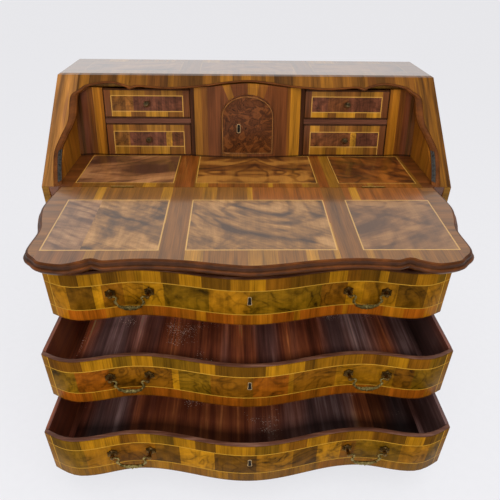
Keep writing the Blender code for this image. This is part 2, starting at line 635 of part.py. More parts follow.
def knob_rings():
    """A turned knob that grows out of its seat along +Z."""
    profile = [(KNOB_BASE_RADIUS, 0.0), (KNOB_BASE_RADIUS, 0.10 * KNOB_LENGTH),
               (KNOB_NECK_RADIUS, 0.22 * KNOB_LENGTH), (KNOB_NECK_RADIUS, 0.42 * KNOB_LENGTH),
               (0.85 * KNOB_RADIUS, 0.55 * KNOB_LENGTH), (KNOB_RADIUS, 0.72 * KNOB_LENGTH),
               (0.80 * KNOB_RADIUS, 0.90 * KNOB_LENGTH), (0.35 * KNOB_RADIUS, KNOB_LENGTH)]
    return turned_rings(profile, 14)


def build_small_drawers(desk, burl, brass):
    """Four small drawers with leaning fronts, two on each side of the centre."""
    half = SMALL_DRAWER_WIDTH / 2
    wall = SMALL_DRAWER_WALL
    depth = SMALL_DRAWER_DEPTH
    tiers = (("upper", UPPER_TIER_LEVEL, UPPER_SMALL_HEIGHT),
             ("lower", INTERIOR_FLOOR, LOWER_SMALL_HEIGHT))
    for tier, level, height in tiers:
        front = facade_y(level)
        for side, sign in (("left", -1), ("right", 1)):
            name = tier + "_" + side
            slide = empty(name + "_small_slide", (sign * BANK_CENTRE, front, level), desk)
            lean = FACADE_LEAN * height
            body = [(0.0, 0.0), (depth, 0.0), (depth, height), (lean, height)]
            drawer = solid(name + "_small_drawer", upright_rings(body, -half, half), burl, slide)
            rim = 2 * height
            well_front = SMALL_DRAWER_FRONT + FACADE_LEAN * wall
            inside = [(well_front, wall), (depth - wall, wall), (depth - wall, rim),
                      (SMALL_DRAWER_FRONT + FACADE_LEAN * rim, rim)]
            combine(drawer, upright_rings(inside, wall - half, half - wall), "DIFFERENCE")
            knob = solid(name + "_knob", knob_rings(), brass, slide, smooth=True)
            outward = Vector((0.0, -math.cos(LEAN_ANGLE), math.sin(LEAN_ANGLE)))
            knob.location = Vector((0.0, lean / 2, height / 2)) + FIT_GAP * outward
            knob.rotation_euler = (math.pi / 2 - LEAN_ANGLE, 0.0, 0.0)


def build():
    """The whole desk, with its origin on the floor under the middle of its outline."""
    for old in list(bpy.data.objects):
        bpy.data.objects.remove(old)
    walnut = material("walnut_veneer", (0.36, 0.17, 0.06), 0.28)
    burl = material("burl_veneer", (0.25, 0.11, 0.05), 0.26)
    plain_wood = material("plain_back_wood", (0.38, 0.25, 0.14), 0.7)
    stained_wood = material("stained_drawer_wood", (0.17, 0.07, 0.05), 0.55)
    dark_wood = material("dark_turned_wood", (0.16, 0.07, 0.03), 0.4)
    brass = material("aged_brass", (0.30, 0.22, 0.10), 0.42, 1.0)

    desk = empty("desk", (0.0, -(FRONT_OF_ALL + CASE_DEPTH) / 2, 0.0))
    build_case(desk, walnut, plain_wood)
    build_bed_and_hinges(desk, walnut, brass)
    build_slanted_frame(desk, walnut)
    build_feet(desk, dark_wood)
    build_flap(desk, walnut)
    build_flap_supports(desk, walnut)
    drawers = (("upper", UPPER_DRAWER_OUT, UPPER_DRAWER_LEVEL),
               ("middle", MIDDLE_DRAWER_OUT, MIDDLE_DRAWER_LEVEL),
               ("lower", LOWER_DRAWER_OUT, LOWER_DRAWER_LEVEL))
    for name, out, level in drawers:
        build_long_drawer(name, desk, out, level, walnut, stained_wood, brass)
    build_centre(desk, walnut, burl)
    build_interior_boards(desk, walnut)
    build_small_drawers(desk, burl, brass)


build()
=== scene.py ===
"""A slant-front writing desk in veneered walnut: its finishes, fittings, light and camera."""
import math

import bmesh
import bpy
from mathutils import Matrix, Vector


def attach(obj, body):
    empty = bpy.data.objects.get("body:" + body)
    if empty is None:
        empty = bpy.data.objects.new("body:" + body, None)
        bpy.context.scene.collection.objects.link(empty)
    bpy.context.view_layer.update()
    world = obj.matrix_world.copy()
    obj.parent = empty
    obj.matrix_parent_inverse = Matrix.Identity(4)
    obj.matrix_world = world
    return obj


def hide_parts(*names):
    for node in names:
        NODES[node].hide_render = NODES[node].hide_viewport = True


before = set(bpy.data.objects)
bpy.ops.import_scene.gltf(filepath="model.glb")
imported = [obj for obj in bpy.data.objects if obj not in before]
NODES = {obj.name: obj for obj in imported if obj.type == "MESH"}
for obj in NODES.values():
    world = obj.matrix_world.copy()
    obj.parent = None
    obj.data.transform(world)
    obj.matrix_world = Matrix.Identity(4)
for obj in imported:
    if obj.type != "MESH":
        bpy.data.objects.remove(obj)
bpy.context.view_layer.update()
SIDES = (("left", -1), ("right", 1))

# The camera: place, turns in degrees (yaw, pitch and roll), sensor width and lens
CAMERA_PLACE = (-0.0313, -1.17375, 1.2904)
CAMERA_TURNS = (1.868, 32.693, -0.8967)
SENSOR_WIDTH = 36.0
LENS = 33.87

# Faces that meet at more than this angle show a sharp edge
SHARP = math.radians(38)

# A matrix that leaves a piece as it is, and one that turns +Z to the front of the desk
STILL = Matrix.Identity(4)
FORWARD = Matrix.Rotation(math.pi / 2, 4, "X")

# The case: the hinge line of the flap, the writing bed and the slanted front
HINGE_Y = -0.04055
BED = 0.760
HINGE_POINT = (0.0, HINGE_Y, BED)
CASE_HALF = 0.540
CASE_DEPTH = 0.4981
LINING_EDGE = 0.5235
TOP_FRONT = 0.2956
TOP_FACE = 0.9755
FOOT_INSET = 0.062
SLANT_RUN = 0.2736
SLANT_RISE = 0.221
SLANT_THICKNESS = 0.022
SLANT_ANGLE = math.atan2(SLANT_RISE, SLANT_RUN)
SLANT_LENGTH = math.hypot(SLANT_RUN, SLANT_RISE)
SLANT_LEG = 0.482
FRAME_FOOT = 0.0005

# The shaped edge of the flap, one half of it: place across and distance from the hinge line
FLAP_DROOP = math.radians(3.0)
FLAP_PLACE = Matrix.Translation(HINGE_POINT) @ Matrix.Rotation(FLAP_DROOP, 4, "X")
FLAP_SIDE_KEYS = ((0.503, 0.000), (0.511, 0.060), (0.513, 0.108), (0.502, 0.155), (0.488, 0.205),
                  (0.4895, 0.282), (0.466, 0.313), (0.443, 0.330), (0.392, 0.339), (0.351, 0.327))
FLAP_CUSP = (0.3365, 0.3185)
FLAP_FRONT_KEYS = ((0.312, 0.3265), (0.276, 0.3235), (0.220, 0.3205), (0.140, 0.327), (0.060, 0.340))
FLAP_REACH = 0.346
EDGE_STEPS = 6
HINGE_GAP = 0.0006
HINGE_NOTCHES = ((-0.3606, -0.2994), (0.2994, 0.3606))
HINGE_NOTCH_DEPTH = 0.0036

# Long drawers: name, height of the underside, and how far each stands out
LONG_DRAWERS = (("upper", 0.4649, 0.160), ("middle", 0.2846, 0.274), ("lower", 0.1043, 0.367))
LOW_LINE = 0.035
HIGH_LINE = 0.110
END_LINE = 0.503
WORN_FOOT = 0.003
WORN_HEAD = 0.1445
TRAY_WALL = 0.496
UNDER_UPPER = 0.455
UNDER_MIDDLE = 0.27
KEYHOLE_LEVEL = 0.080
HANDLE_AT = 0.305
HANDLE_SPAN = 0.094
HANDLE_LEVEL = 0.0815
EYE_RADIUS = 0.0062
EYE_REACH = 0.015
BAIL_DROP = 0.036
ROSETTE_RADIUS = 0.011

# The serpentine of the long drawers: its reach at the middle, hollows and crests, and where these are
CENTRE_BOW = 0.050
HOLLOW_BOW = 0.008
CREST_BOW = 0.029
HOLLOW_AT = 0.290
CREST_AT = 0.440
END_TURN = 0.081

# Small drawers behind the flap: name, height of the underside, height of the front
SMALL_DRAWERS = (("upper", 0.8666, 0.080), ("lower", 0.7603, 0.092))
SMALL_DRAWER_AT = 0.29105
SMALL_FRONT_BACK = 0.262
FACADE_DEPTH = 0.2205
FACADE_LEAN = 0.20
FACADE_ANGLE = math.atan(FACADE_LEAN)
FACADE_FOOT = BED + 0.0045
CENTRE_HALF = 0.1665
CENTRE_BULGE = 0.016


def tone(red, green, blue):
    """A colour as it looks on a screen, from 0 to 255."""
    def linear(value):
        share = value / 255
        return share / 12.92 if share <= 0.04045 else ((share + 0.055) / 1.055) ** 2.4
    return (linear(red), linear(green), linear(blue), 1.0)


def shades(*marks):
    """Stops of a colour ramp, each from its place and its colour on a screen."""
    return [(place, tone(*colour)) for place, *colour in marks]


# Woods of the veneer
GOLD = tone(148, 102, 22)
HONEY = tone(126, 84, 20)
BROWN = tone(104, 64, 18)
DARK = tone(82, 53, 15)
OLIVE = tone(99, 71, 17)
RUST = tone(118, 62, 18)
PLUM = tone(92, 52, 22)
UMBER = tone(56, 31, 13)
MAPLE = tone(172, 128, 52)
WINE = tone(86, 48, 27)

# What the camera sees around the desk
STUDIO_WHITE = tone(246, 246, 250)


class Wire:
    """A socket of a node. Sums on it add the nodes that work them out."""

    def __init__(self, nodes, socket):
        self.nodes = nodes
        self.socket = socket

    def work(self, operation, *others):
        sockets = dict(zip(("Value", "Value_001", "Value_002"), (self, *others)))
        return self.nodes.make("ShaderNodeMath", {"operation": operation}, sockets)

    def __add__(self, other):
        return self.work("ADD", other)

    __radd__ = __add__

    def __mul__(self, other):
        return self.work("MULTIPLY", other)

    __rmul__ = __mul__

    def __sub__(self, other):
        return self.work("SUBTRACT", other)

    def __rsub__(self, other):
        sockets = {"Value": other, "Value_001": self}
        return self.nodes.make("ShaderNodeMath", {"operation": "SUBTRACT"}, sockets)

    def __gt__(self, other):
        return self.work("GREATER_THAN", other)

    def __lt__(self, other):
        return self.work("LESS_THAN", other)

    def __abs__(self):
        return self.work("ABSOLUTE")

    def __or__(self, other):
        return self.work("MAXIMUM", other)

    def __and__(self, other):
        return self.work("MINIMUM", other)

    def __pow__(self, other):
        return self.work("POWER", other)

    def near(self, centre, half):
        return self.work("COMPARE", centre, half)

    def between(self, low, high):
        return (self > low) & (self < high)

    def wave(self):
        return 0.5 + 0.5 * self.work("SINE")


class Nodes:
    """The nodes of one tree."""

    def __init__(self, tree):
        self.tree = tree

    def make(self, kind, settings, sockets, out=0):
        """Add a node: its settings first, then the values or wires of its sockets."""
        node = self.tree.nodes.new(kind)
        for name, value in settings.items():
            if name == "stops":
                self.set_stops(node.color_ramp, value)
            else:
                setattr(node, name, value)
        for name, value in sockets.items():
            socket = next(found for found in node.inputs if name in (found.identifier, found.name))
            self.plug(socket, value)
        if isinstance(out, str):
            out = next(i for i, found in enumerate(node.outputs) if out in (found.identifier, found.name))
        return Wire(self, node.outputs[out]) if node.outputs else None

    def plug(self, socket, value):
        if isinstance(value, Wire):
            self.tree.links.new(value.socket, socket)
        elif socket.type == "VECTOR":
            socket.default_value = value[:3]
        else:
            socket.default_value = value

    def set_stops(self, ramp, stops):
        while len(ramp.elements) < len(stops):
            ramp.elements.new(1.0)
        for element, (place, colour) in zip(ramp.elements, stops):
            element.position = place
            element.color = colour

    def split(self, vector):
        return [self.make("ShaderNodeSeparateXYZ", {}, {"Vector": vector}, axis) for axis in "XYZ"]


class Finish(Nodes):
    """A surface finish made of nodes, worked out from the place on the piece."""

    def __init__(self, name, roughness, coat=0.0, coat_roughness=0.10, metallic=0.0, specular=0.5):
        self.material = bpy.data.materials.new(name)
        self.material.use_nodes = True
        super().__init__(self.material.node_tree)
        self.shader = self.tree.nodes["Principled BSDF"]
        constants = {"Roughness": roughness, "Coat Weight": coat, "Coat Roughness": coat_roughness,
                     "Metallic": metallic, "Specular IOR Level": specular}
        for socket, value in constants.items():
            self.shader.inputs[socket].default_value = value
        self.place = self.make("ShaderNodeTexCoord", {}, {}, "Object")
        self.x, self.y, self.z = self.split(self.place)

    def vector(self, x, y, z=0.0):
        return self.make("ShaderNodeCombineXYZ", {}, {"X": x, "Y": y, "Z": z})

    def seen_from(self, centre, turn):
        """Places measured from a point, in a frame that is turned about the width of the desk."""
        sockets = {"Vector": self.place, "Location": centre, "Rotation": (turn, 0.0, 0.0)}
        return self.split(self.make("ShaderNodeMapping", {"vector_type": "TEXTURE"}, sockets))

    def noise(self, vector, scale=1.0, detail=3.0, rough=0.5, twist=0.0):
        sockets = {"Vector": vector, "Scale": scale, "Detail": detail,
                   "Roughness": rough, "Distortion": twist}
        return self.make("ShaderNodeTexNoise", {}, sockets, "Fac")

    def chance(self, place, scale):
        """A chance from 0 to 1 that changes in steps along a line."""
        sockets = {"W": place, "Scale": scale}
        picked = self.make("ShaderNodeTexVoronoi", {"voronoi_dimensions": "1D"}, sockets, "Color")
        return self.split(picked)[0]

    def mix(self, share, first, second):
        sockets = {"Factor_Float": share, "A_Color": first, "B_Color": second}
        return self.make("ShaderNodeMix", {"data_type": "RGBA"}, sockets, "Result_Color")

    def shade(self, colour, amount):
        return self.make("ShaderNodeVectorMath", {"operation": "SCALE"}, {"Vector": colour, "Scale": amount})

    def tint(self, colour, filter_colour):
        sockets = {"Vector": colour, "Vector_001": filter_colour}
        return self.make("ShaderNodeVectorMath", {"operation": "MULTIPLY"}, sockets)

    def ramp(self, value, stops):
        return self.make("ShaderNodeValToRGB", {"stops": stops}, {"Fac": value}, "Color")

    def set_colour(self, colour):
        self.plug(self.shader.inputs["Base Color"], colour)

    def set_roughness(self, value):
        self.plug(self.shader.inputs["Roughness"], value)

    def set_bump(self, height, distance, strength=0.5):
        sockets = {"Height": height, "Distance": distance, "Strength": strength}
        self.plug(self.shader.inputs["Normal"], self.make("ShaderNodeBump", {}, sockets))


def blocks(finish, place, pieces, low=-0.55, high=0.55):
    """Veneers side by side: each wood runs from the edge of the one before to its own edge."""
    starts = [low, *[edge for edge, _ in pieces[:-1]]]
    stops = [((start - low) / (high - low), wood) for start, (_, wood) in zip(starts, pieces)]
    chosen = finish.ramp((place - low) * (1 / (high - low)), stops)
    chosen.socket.node.color_ramp.interpolation = "CONSTANT"
    return chosen


def grain(finish, across, along, seed=0.0):
    """Light and dark streaks of straight grain, as a factor on a wood's colour."""
    broad = finish.noise(finish.vector(across * 60.0, along * 3.5, seed), detail=3.0)
    fine = finish.noise(finish.vector(across * 420.0, along * 14.0, seed), detail=2.0)
    return -0.50 + 1.80 * broad + 1.20 * fine


def figure(finish, along, across, seed, scale, twist=1.3, line_depth=0.24):
    """Clouds, streaks and dark growth lines of figured veneer, about 0 to 1."""
    point = finish.vector(along, across, seed)
    drift = finish.noise(point, scale, 2.0, twist=0.8 * twist)
    lines = (drift * 40.0).wave() ** 4.0
    clouds = finish.noise(point, 1.3 * scale, 6.0, 0.58, twist=twist)
    drawn_out = finish.vector(along * (3.0 * scale), across * (20.0 * scale), seed)
    streaks = finish.noise(drawn_out, 1.0, 3.0, 0.6, 0.6)
    fine = finish.noise(point, 14.0 * scale, 3.0, 0.6)
    return 2.3 * clouds + 0.55 * streaks + 0.35 * fine - 1.0 - line_depth * lines


def polish(name, coat=0.06, specular=0.17):
    """A polished veneer, under a clear coat of varnish."""
    return Finish(name, 0.34, coat=coat, coat_roughness=0.10, specular=specular)


def varnished(finish, colour, across, along):
    """A veneer's colour, with the shallow pores of its grain as a bump under the varnish."""
    height = finish.noise(finish.vector(across * 900.0, along * 45.0), detail=2.0)
    finish.set_bump(height, 0.0003, 0.25)
    finish.set_roughness(0.24 + 0.16 * height)
    finish.set_colour(colour)
    return finish.material


def straight_veneer(name, wood, second, grain_axis):
    """Plain veneer whose grain runs along one axis of the desk."""
    finish = polish(name)
    along = getattr(finish, grain_axis)
    first, other = (getattr(finish, axis) for axis in "xyz".replace(grain_axis, ""))
    across = first + 0.83 * other
    cloud = finish.noise(finish.vector(across * 16.0, along * 2.0), detail=4.0)
    colour = finish.shade(finish.mix(cloud, wood, second), grain(finish, across, along))
    return varnished(finish, colour, across, along)


def drawer_front_finish(name, level, top, field, bottom, painted_dimming, foot):
    """A long drawer front: bands above and below, a figured field between, light lines at the joints."""
    finish = polish(name, 0.0, 0.03)
    x, z = finish.x, finish.z - level
    upright = grain(finish, x, z, level)
    lower = z < LOW_LINE
    painted_gain, wood = foot
    # Painted light: the lower band is brightened by a gain that differs from drawer to drawer, lifting the
    # shade that falls on it
    low_band = finish.shade(finish.mix(0.55, blocks(finish, x, bottom), wood), painted_gain)
    high_band = finish.mix(0.15, blocks(finish, x, top), HONEY)
    bands = finish.shade(finish.mix(lower, high_band, low_band), upright)
    swirls = figure(finish, x + 0.5 * z, z - 0.4 * x, 3.0 * level, 6.5, 2.0, 0.34)
    middle = finish.mix(0.10, blocks(finish, x, field), HONEY)
    middle = finish.shade(middle, (0.40 + 1.30 * swirls) * (0.65 + 0.35 * upright))
    colour = finish.mix(lower | (z > HIGH_LINE), middle, bands)
    colour = finish.mix(abs(x) > END_LINE, colour, finish.shade(HONEY, upright))
    # Painted shade: the whole front is dimmed, more on the middle and lower drawers, which the lamps light
    # more; the smoke is random tone
    smoke = finish.noise(finish.vector(x * 5.0, z * 9.0, level), detail=3.0)
    colour = finish.tint(finish.shade(colour, painted_dimming * (0.45 + 1.1 * smoke)), (1.04, 1.0, 0.45))
    lines = z.near(HIGH_LINE, 0.0011) | z.near(LOW_LINE, 0.0011) | abs(x).near(END_LINE, 0.0010)
    uneven = finish.noise(finish.vector(x * 70.0, z * 70.0))
    colour = finish.mix(lines, colour, finish.shade(tone(188, 141, 46), 0.60 + 0.7 * uneven))
    worn = (z < WORN_FOOT) | (z > WORN_HEAD)
    return varnished(finish, finish.mix(0.5 * worn, colour, UMBER), x, z)


def panelled(finish, along, bands, panels, straps, ends, line, seed):
    """The colour of figured panels in light lines, with straps between them and a banded border."""
    x = finish.x
    back_line, front_line, back_band, front_band = bands
    line_width, line_share, line_wood = line
    end_line, end_wood = ends
    cross = grain(finish, x, along, seed)
    in_front = along > (back_line + front_line) / 2
    border = finish.mix(in_front, blocks(finish, x, back_band), blocks(finish, x, front_band))
    border = finish.shade(finish.mix(0.2, border, HONEY), cross)
    colour = finish.mix(abs(x) > end_line, border, finish.shade(end_wood, grain(finish, along, x, seed)))
    fields, framed = 0.0, 0.0
    in_depth = along.between(back_line, front_line)
    near_depth = along.between(back_line - line_width, front_line + line_width)
    for left, right, lean, stops in panels:
        inside = x.between(left, right) & in_depth
        across = x if lean else abs(x - (left + right) / 2) + 0.25 * x
        over, down = across + lean * along, 1.6 * along - lean * across
        field = finish.ramp(figure(finish, over, down, seed + 7.0 * left, 2.4, 1.8, 0.26), stops)
        colour = finish.mix(inside, colour, finish.shade(field, 0.70 + 0.30 * cross))
        fields = inside | fields
        framed = x.between(left - line_width, right + line_width) & near_depth | framed
    for left, right, wood in straps:
        colour = finish.mix(x.between(left, right), colour, finish.shade(wood, cross))
    lines = line_share * (framed - fields)
    return finish.mix(lines, colour, finish.shade(line_wood, 0.7 + 0.3 * cross))


def flap_finish():
    """The flap, measured from its hinge line."""
    back = ((-0.434, PLUM), (-0.393, BROWN), (-0.371, GOLD), (-0.2276, BROWN), (-0.199, GOLD),
            (-0.1226, BROWN), (-0.083, HONEY), (-0.007, BROWN), (0.007, GOLD), (0.186, RUST),
            (0.241, BROWN), (0.262, RUST), (0.283, GOLD), (0.444, RUST), (0.55, PLUM))
    front = ((-0.3535, PLUM), (-0.3325, HONEY), (-0.143, BROWN), (-0.105, GOLD), (-0.0106, BROWN),
             (0.0545, HONEY), (0.115, BROWN), (0.140, GOLD), (0.175, BROWN), (0.186, GOLD), (0.241, BROWN),
             (0.262, HONEY), (0.340, BROWN), (0.358, HONEY), (0.444, BROWN), (0.55, PLUM))
    flame = shades((0.14, 64, 42, 24), (0.40, 104, 71, 37), (0.58, 131, 92, 48), (0.82, 160, 118, 70))
    plain = shades((0.24, 84, 56, 38), (0.50, 116, 82, 54), (0.76, 150, 112, 76))
    quiet = shades((0.18, 76, 50, 30), (0.50, 108, 73, 41), (0.82, 136, 97, 57))
    panels = ((-0.449, -0.3665, 0.4, plain), (-0.3665, -0.202, 0.8, flame), (-0.140, 0.183, 0.9, flame),
              (0.244, 0.452, -0.7, quiet))
    straps = ((-0.1965, -0.1455, BROWN), (0.1885, 0.2385, BROWN))
    line = (0.0030, 0.85, tone(184, 142, 78))
    finish = polish("flap_veneer", 0.95, 0.4825)
    from_hinge = -1.0 * finish.seen_from(HINGE_POINT, FLAP_DROOP)[1]
    bands = (0.070, 0.282, back, front)
    colour = panelled(finish, from_hinge, bands, panels, straps, (0.455, BROWN), line, 1.0)
    return varnished(finish, finish.shade(colour, 1.52), finish.x, from_hinge)


def bed_finish():
    """The fixed part of the writing surface, measured from its back."""
    back = ((-0.20, RUST), (-0.143, BROWN), (0.186, RUST), (0.55, BROWN))
    front = ((-0.441, RUST), (-0.280, BROWN), (-0.2486, GOLD), (-0.143, BROWN), (-0.133, HONEY),
             (-0.1086, GOLD), (0.049, RUST), (0.0614, GOLD), (0.140, RUST), (0.157, HONEY), (0.241, BROWN),
             (0.315, RUST), (0.332, HONEY), (0.434, RUST), (0.55, BROWN))
    flame = shades((0.16, 42, 22, 11), (0.40, 78, 43, 18), (0.60, 114, 68, 25), (0.82, 156, 104, 43))
    # Painted sheen on the left panel, paler and greyer, and painted shade on the right one, darker, as if lit
    # from the left
    sheen_stops = shades((0.14, 70, 43, 30), (0.40, 110, 70, 44), (0.60, 136, 90, 55), (0.84, 164, 114, 72))
    shaded_stops = shades((0.14, 42, 21, 9), (0.40, 78, 40, 13), (0.60, 106, 57, 18), (0.84, 136, 77, 26))
    panels = ((-0.458, -0.202, -0.8, sheen_stops), (-0.140, 0.183, 0.0, flame), (0.244, 0.452, 0.7, shaded_stops))
    straps = ((-0.1965, -0.1455, RUST), (0.1885, 0.214, RUST), (0.214, 0.2385, HONEY))
    line = (0.0022, 0.9, tone(186, 142, 66))
    finish = polish("bed_veneer", 0.7, 0.395)
    from_back = (HINGE_Y + FACADE_DEPTH) - finish.y
    bands = (0.003, 0.194, back, front)
    colour = panelled(finish, from_back, bands, panels, straps, (0.4625, tone(88, 46, 18)), line, 2.7)
    return varnished(finish, finish.shade(colour, 1.30), finish.x, from_back)


def slant_finish():
    """The slanted frame: narrow upright veneers across the head, quieter ones down the legs."""
    finish = polish("slanted_frame_veneer")
    x, up, _ = finish.seen_from(HINGE_POINT, SLANT_ANGLE)
    head_woods = ((0.0, DARK), (0.30, HONEY), (0.50, GOLD), (0.68, BROWN), (0.85, HONEY), (1.0, UMBER))
    head = finish.ramp(finish.chance(x + 3.1, 38.0), head_woods)
    leg_cloud = finish.noise(finish.vector(x * 55.0, up * 2.5), detail=3.0)
    leg = finish.ramp(leg_cloud, ((0.34, DARK), (0.46, HONEY), (0.57, GOLD), (0.68, BROWN)))
    # Painted light: the left leg paler and lighter, the right one darker, as if lit from the left
    leg = finish.shade(finish.mix(0.30 * (x < 0.0), leg, tone(150, 118, 76)), 1.0 - 0.45 * x)
    colour = finish.mix(abs(x) > SLANT_LEG, head, leg)
    colour = finish.shade(colour, 0.90 * grain(finish, x, up, 0.4))
    return varnished(finish, finish.tint(colour, (1.05, 0.90, 1.05)), x, up)


def moulded_wood(finish, wood, second, scale):
    """The streaks and the clouded colour of a dark moulding."""
    cloud = finish.noise(finish.place, scale, 4.0)
    streak = finish.noise(finish.vector(finish.x * 60.0, finish.y * 60.0, finish.z * 220.0), detail=3.0)
    finish.set_bump(streak, 0.0003, 0.25)
    return streak, finish.ramp(cloud, ((0.30, wood), (0.70, second)))


def moulding_finish(name, wood, second):
    """Dark polished mouldings, rubbed lighter in places."""
    finish = polish(name)
    streak, colour = moulded_wood(finish, wood, second, 22.0)
    finish.set_colour(finish.shade(colour, 0.55 + 0.9 * streak))
    return finish.material


def flap_edge_finish(name, wood, second):
    """The moulded edge of the flap: painted shade in the hollow, painted highlights on both lips."""
    finish = polish(name)
    level = finish.seen_from(HINGE_POINT, FLAP_DROOP)[2]
    streak, colour = moulded_wood(finish, wood, second, 26.0)
    # Painted shade in the hollow of the moulding, and painted highlights along both lips
    hollow = level.near(-0.0105, 0.0042)
    lip_highlight = level.near(-0.0018, 0.0010) | level.near(-0.0164, 0.0010)
    finish.set_colour(finish.shade(colour, (0.50 + streak) * (1.0 - 0.35 * hollow) * (1.0 + 0.5 * lip_highlight)))
    return finish.material


def small_drawer_finish(name, centre, level, height, line_low, line_high, above, field, below):
    """A small drawer front: a plain frame, bands above and below, and a figured panel in a light line."""
    half, line = 0.1015, 0.0025
    finish = polish(name)
    x, z = finish.x, finish.z - level
    across = abs(x - centre)
    upright = grain(finish, x, z, centre)
    bands = finish.mix(z > height / 2, blocks(finish, x, below), blocks(finish, x, above))
    panel = finish.shade(blocks(finish, x, field), 0.40 + 1.1 * figure(finish, x, z, centre, 20.0))
    inside = (across < half) & z.between(line_low, line_high)
    colour = finish.mix(inside, bands, panel)
    colour = finish.mix(across > half + 0.0023, colour, PLUM)
    colour = finish.mix((z < 0.005) | (z > height - 0.004), colour, UMBER)
    colour = finish.shade(colour, upright)
    wide = (across < half + line) & z.between(line_low - line, line_high + line)
    lines = (wide - inside) | across.near(half + 0.0015, 0.0011) & z.between(0.005, line_high)
    colour = finish.mix(lines, colour, finish.shade(MAPLE, 0.65 + 0.3 * upright))
    return varnished(finish, finish.tint(colour, (1.26, 1.22, 1.40)), x, z)


def centre_panel_finish():
    """The bowed centre of the interior: upright strips, with wedges that fan out over the arch."""
    finish = polish("centre_panel_veneer")
    x, z = finish.x, finish.z
    strips = ((-0.1585, UMBER), (-0.135, HONEY), (-0.119, BROWN), (-0.078, PLUM), (0.000, BROWN),
              (0.112, PLUM), (0.124, BROWN), (0.152, GOLD), (0.55, UMBER))
    wedges = ((-0.43, PLUM), (-0.30, HONEY), (-0.02, PLUM), (0.20, HONEY), (0.34, BROWN), (3.2, PLUM))
    turn = x.work("ARCTAN2", z - 0.800)
    fan = (abs(x) < 0.080) & (z > 0.890)
    colour = finish.mix(fan, blocks(finish, x, strips), blocks(finish, turn, wedges, -3.2, 3.2))
    # Painted shade: a dark line along the foot, where the front meets the writing bed
    foot = 0.35 + 0.65 * (z > FACADE_FOOT)
    colour = finish.shade(colour, foot * grain(finish, x, z, 0.9))
    return varnished(finish, finish.tint(colour, (1.16, 1.02, 1.0)), x, z)


def burl_finish(name, light, middle, dark, scale):
    """Burl: knotted swirls with small eyes."""
    finish = polish(name)
    swirl = finish.noise(finish.place, scale, 6.0, 0.62, twist=2.6)
    eye_sockets = {"Vector": finish.place, "Scale": 3.1 * scale, "Smoothness": 0.6}
    eyes = finish.make("ShaderNodeTexVoronoi", {"feature": "SMOOTH_F1"}, eye_sockets, "Distance")
    contours = (swirl * 34.0).wave()
    mixed = 0.72 * swirl + 0.20 * contours + 0.12 * eyes
    finish.set_colour(finish.ramp(mixed, ((0.34, dark), (0.50, middle), (0.68, light))))
    finish.set_bump(mixed, 0.0004, 0.2)
    return finish.material


def wing_finish(name, sign):
    """A hollow wing: a light strip beside the drawers, then browns."""
    finish = polish(name)
    x, z = finish.x, finish.z
    strips = ((0.4165, UMBER), (0.424, HONEY), (0.444, GOLD), (0.462, BROWN), (0.478, PLUM), (0.488, DARK),
              (0.55, BROWN))
    # Painted shade: a dark line along the foot, where the front meets the writing bed
    foot = 0.30 + 0.60 * (z > FACADE_FOOT)
    colour = finish.shade(blocks(finish, x * sign, strips), foot * grain(finish, x, z, 2.2))
    return varnished(finish, finish.tint(colour, (1.16, 0.92, 1.0)), x, z)


def side_finish():
    """The case sides: outside a figured panel in a light line and a banded border, inside warm linings."""
    middle, half, foot, head, line = HINGE_Y + 0.249, 0.185, 0.150, 0.690, 0.003
    finish = polish("case_side_veneer")
    x, y, z = finish.x, finish.y, finish.z

    def within(margin):
        return (abs(y - middle) < half + margin) & z.between(foot - margin, head + margin)

    clouds = figure(finish, z * 0.5, y * 1.1, x, 8.0)
    panel = finish.shade(finish.mix(clouds, DARK, HONEY), grain(finish, y, z, 1.3))
    border_woods = ((0.0, BROWN), (0.4, HONEY), (0.6, GOLD), (0.8, DARK), (1.0, BROWN))
    border = finish.shade(finish.ramp(finish.chance(z, 14.0), border_woods), grain(finish, z, y, 0.2))
    outside = finish.mix(within(line), border, finish.shade(MAPLE, 0.9))
    outside = finish.mix(within(0.0), outside, panel)
    lining_cloud = finish.noise(finish.vector(y * 14.0, z * 3.0, x), detail=3.0)
    lining = finish.shade(finish.mix(lining_cloud, RUST, HONEY), 1.55 * grain(finish, y, z, 4.0))
    return varnished(finish, finish.mix(abs(x) > LINING_EDGE, lining, outside), y, z)


def top_finish():
    """The top board, measured from its front: panelled, with a strong coat on its upper face, which is
    painted pale as a sheen.
    """
    back = ((-0.40, BROWN), (-0.31, HONEY), (-0.143, BROWN), (-0.04, HONEY), (0.08, BROWN), (0.186, HONEY),
            (0.30, BROWN), (0.40, HONEY), (0.55, BROWN))
    front = ((-0.44, BROWN), (-0.38, GOLD), (-0.30, BROWN), (-0.23, HONEY), (-0.143, BROWN), (-0.09, GOLD),
             (0.02, BROWN), (0.09, HONEY), (0.186, BROWN), (0.28, GOLD), (0.36, BROWN), (0.43, HONEY),
             (0.55, BROWN))
    flame = shades((0.05, 70, 44, 24), (0.50, 112, 72, 36), (0.90, 140, 96, 50))
    panels = ((-0.480, -0.202, 0.6, flame), (-0.140, 0.140, -0.6, flame), (0.202, 0.480, 0.6, flame))
    straps = ((-0.1965, -0.1455, BROWN), (0.1455, 0.1965, BROWN))
    line = (0.0020, 0.45, MAPLE)
    finish = polish("top_board_veneer", 1.0, 0.15)
    from_front = finish.y - (HINGE_Y + TOP_FRONT)
    bands = (0.040, 0.162, back, front)
    colour = panelled(finish, from_front, bands, panels, straps, (0.4825, BROWN), line, 5.1)
    upper = finish.z > TOP_FACE
    finish.shader.inputs["Coat IOR"].default_value = 2.1
    finish.plug(finish.shader.inputs["Coat Weight"], upper)
    # Painted sheen: the upper face is made brighter and veiled in a pale grey-pink, while the edges stay
    # darker
    colour = finish.shade(finish.shade(colour, 1.7), 0.42 + 0.58 * upper)
    return varnished(finish, finish.mix(0.42 * upper, colour, tone(196, 186, 186)), finish.x, from_front)


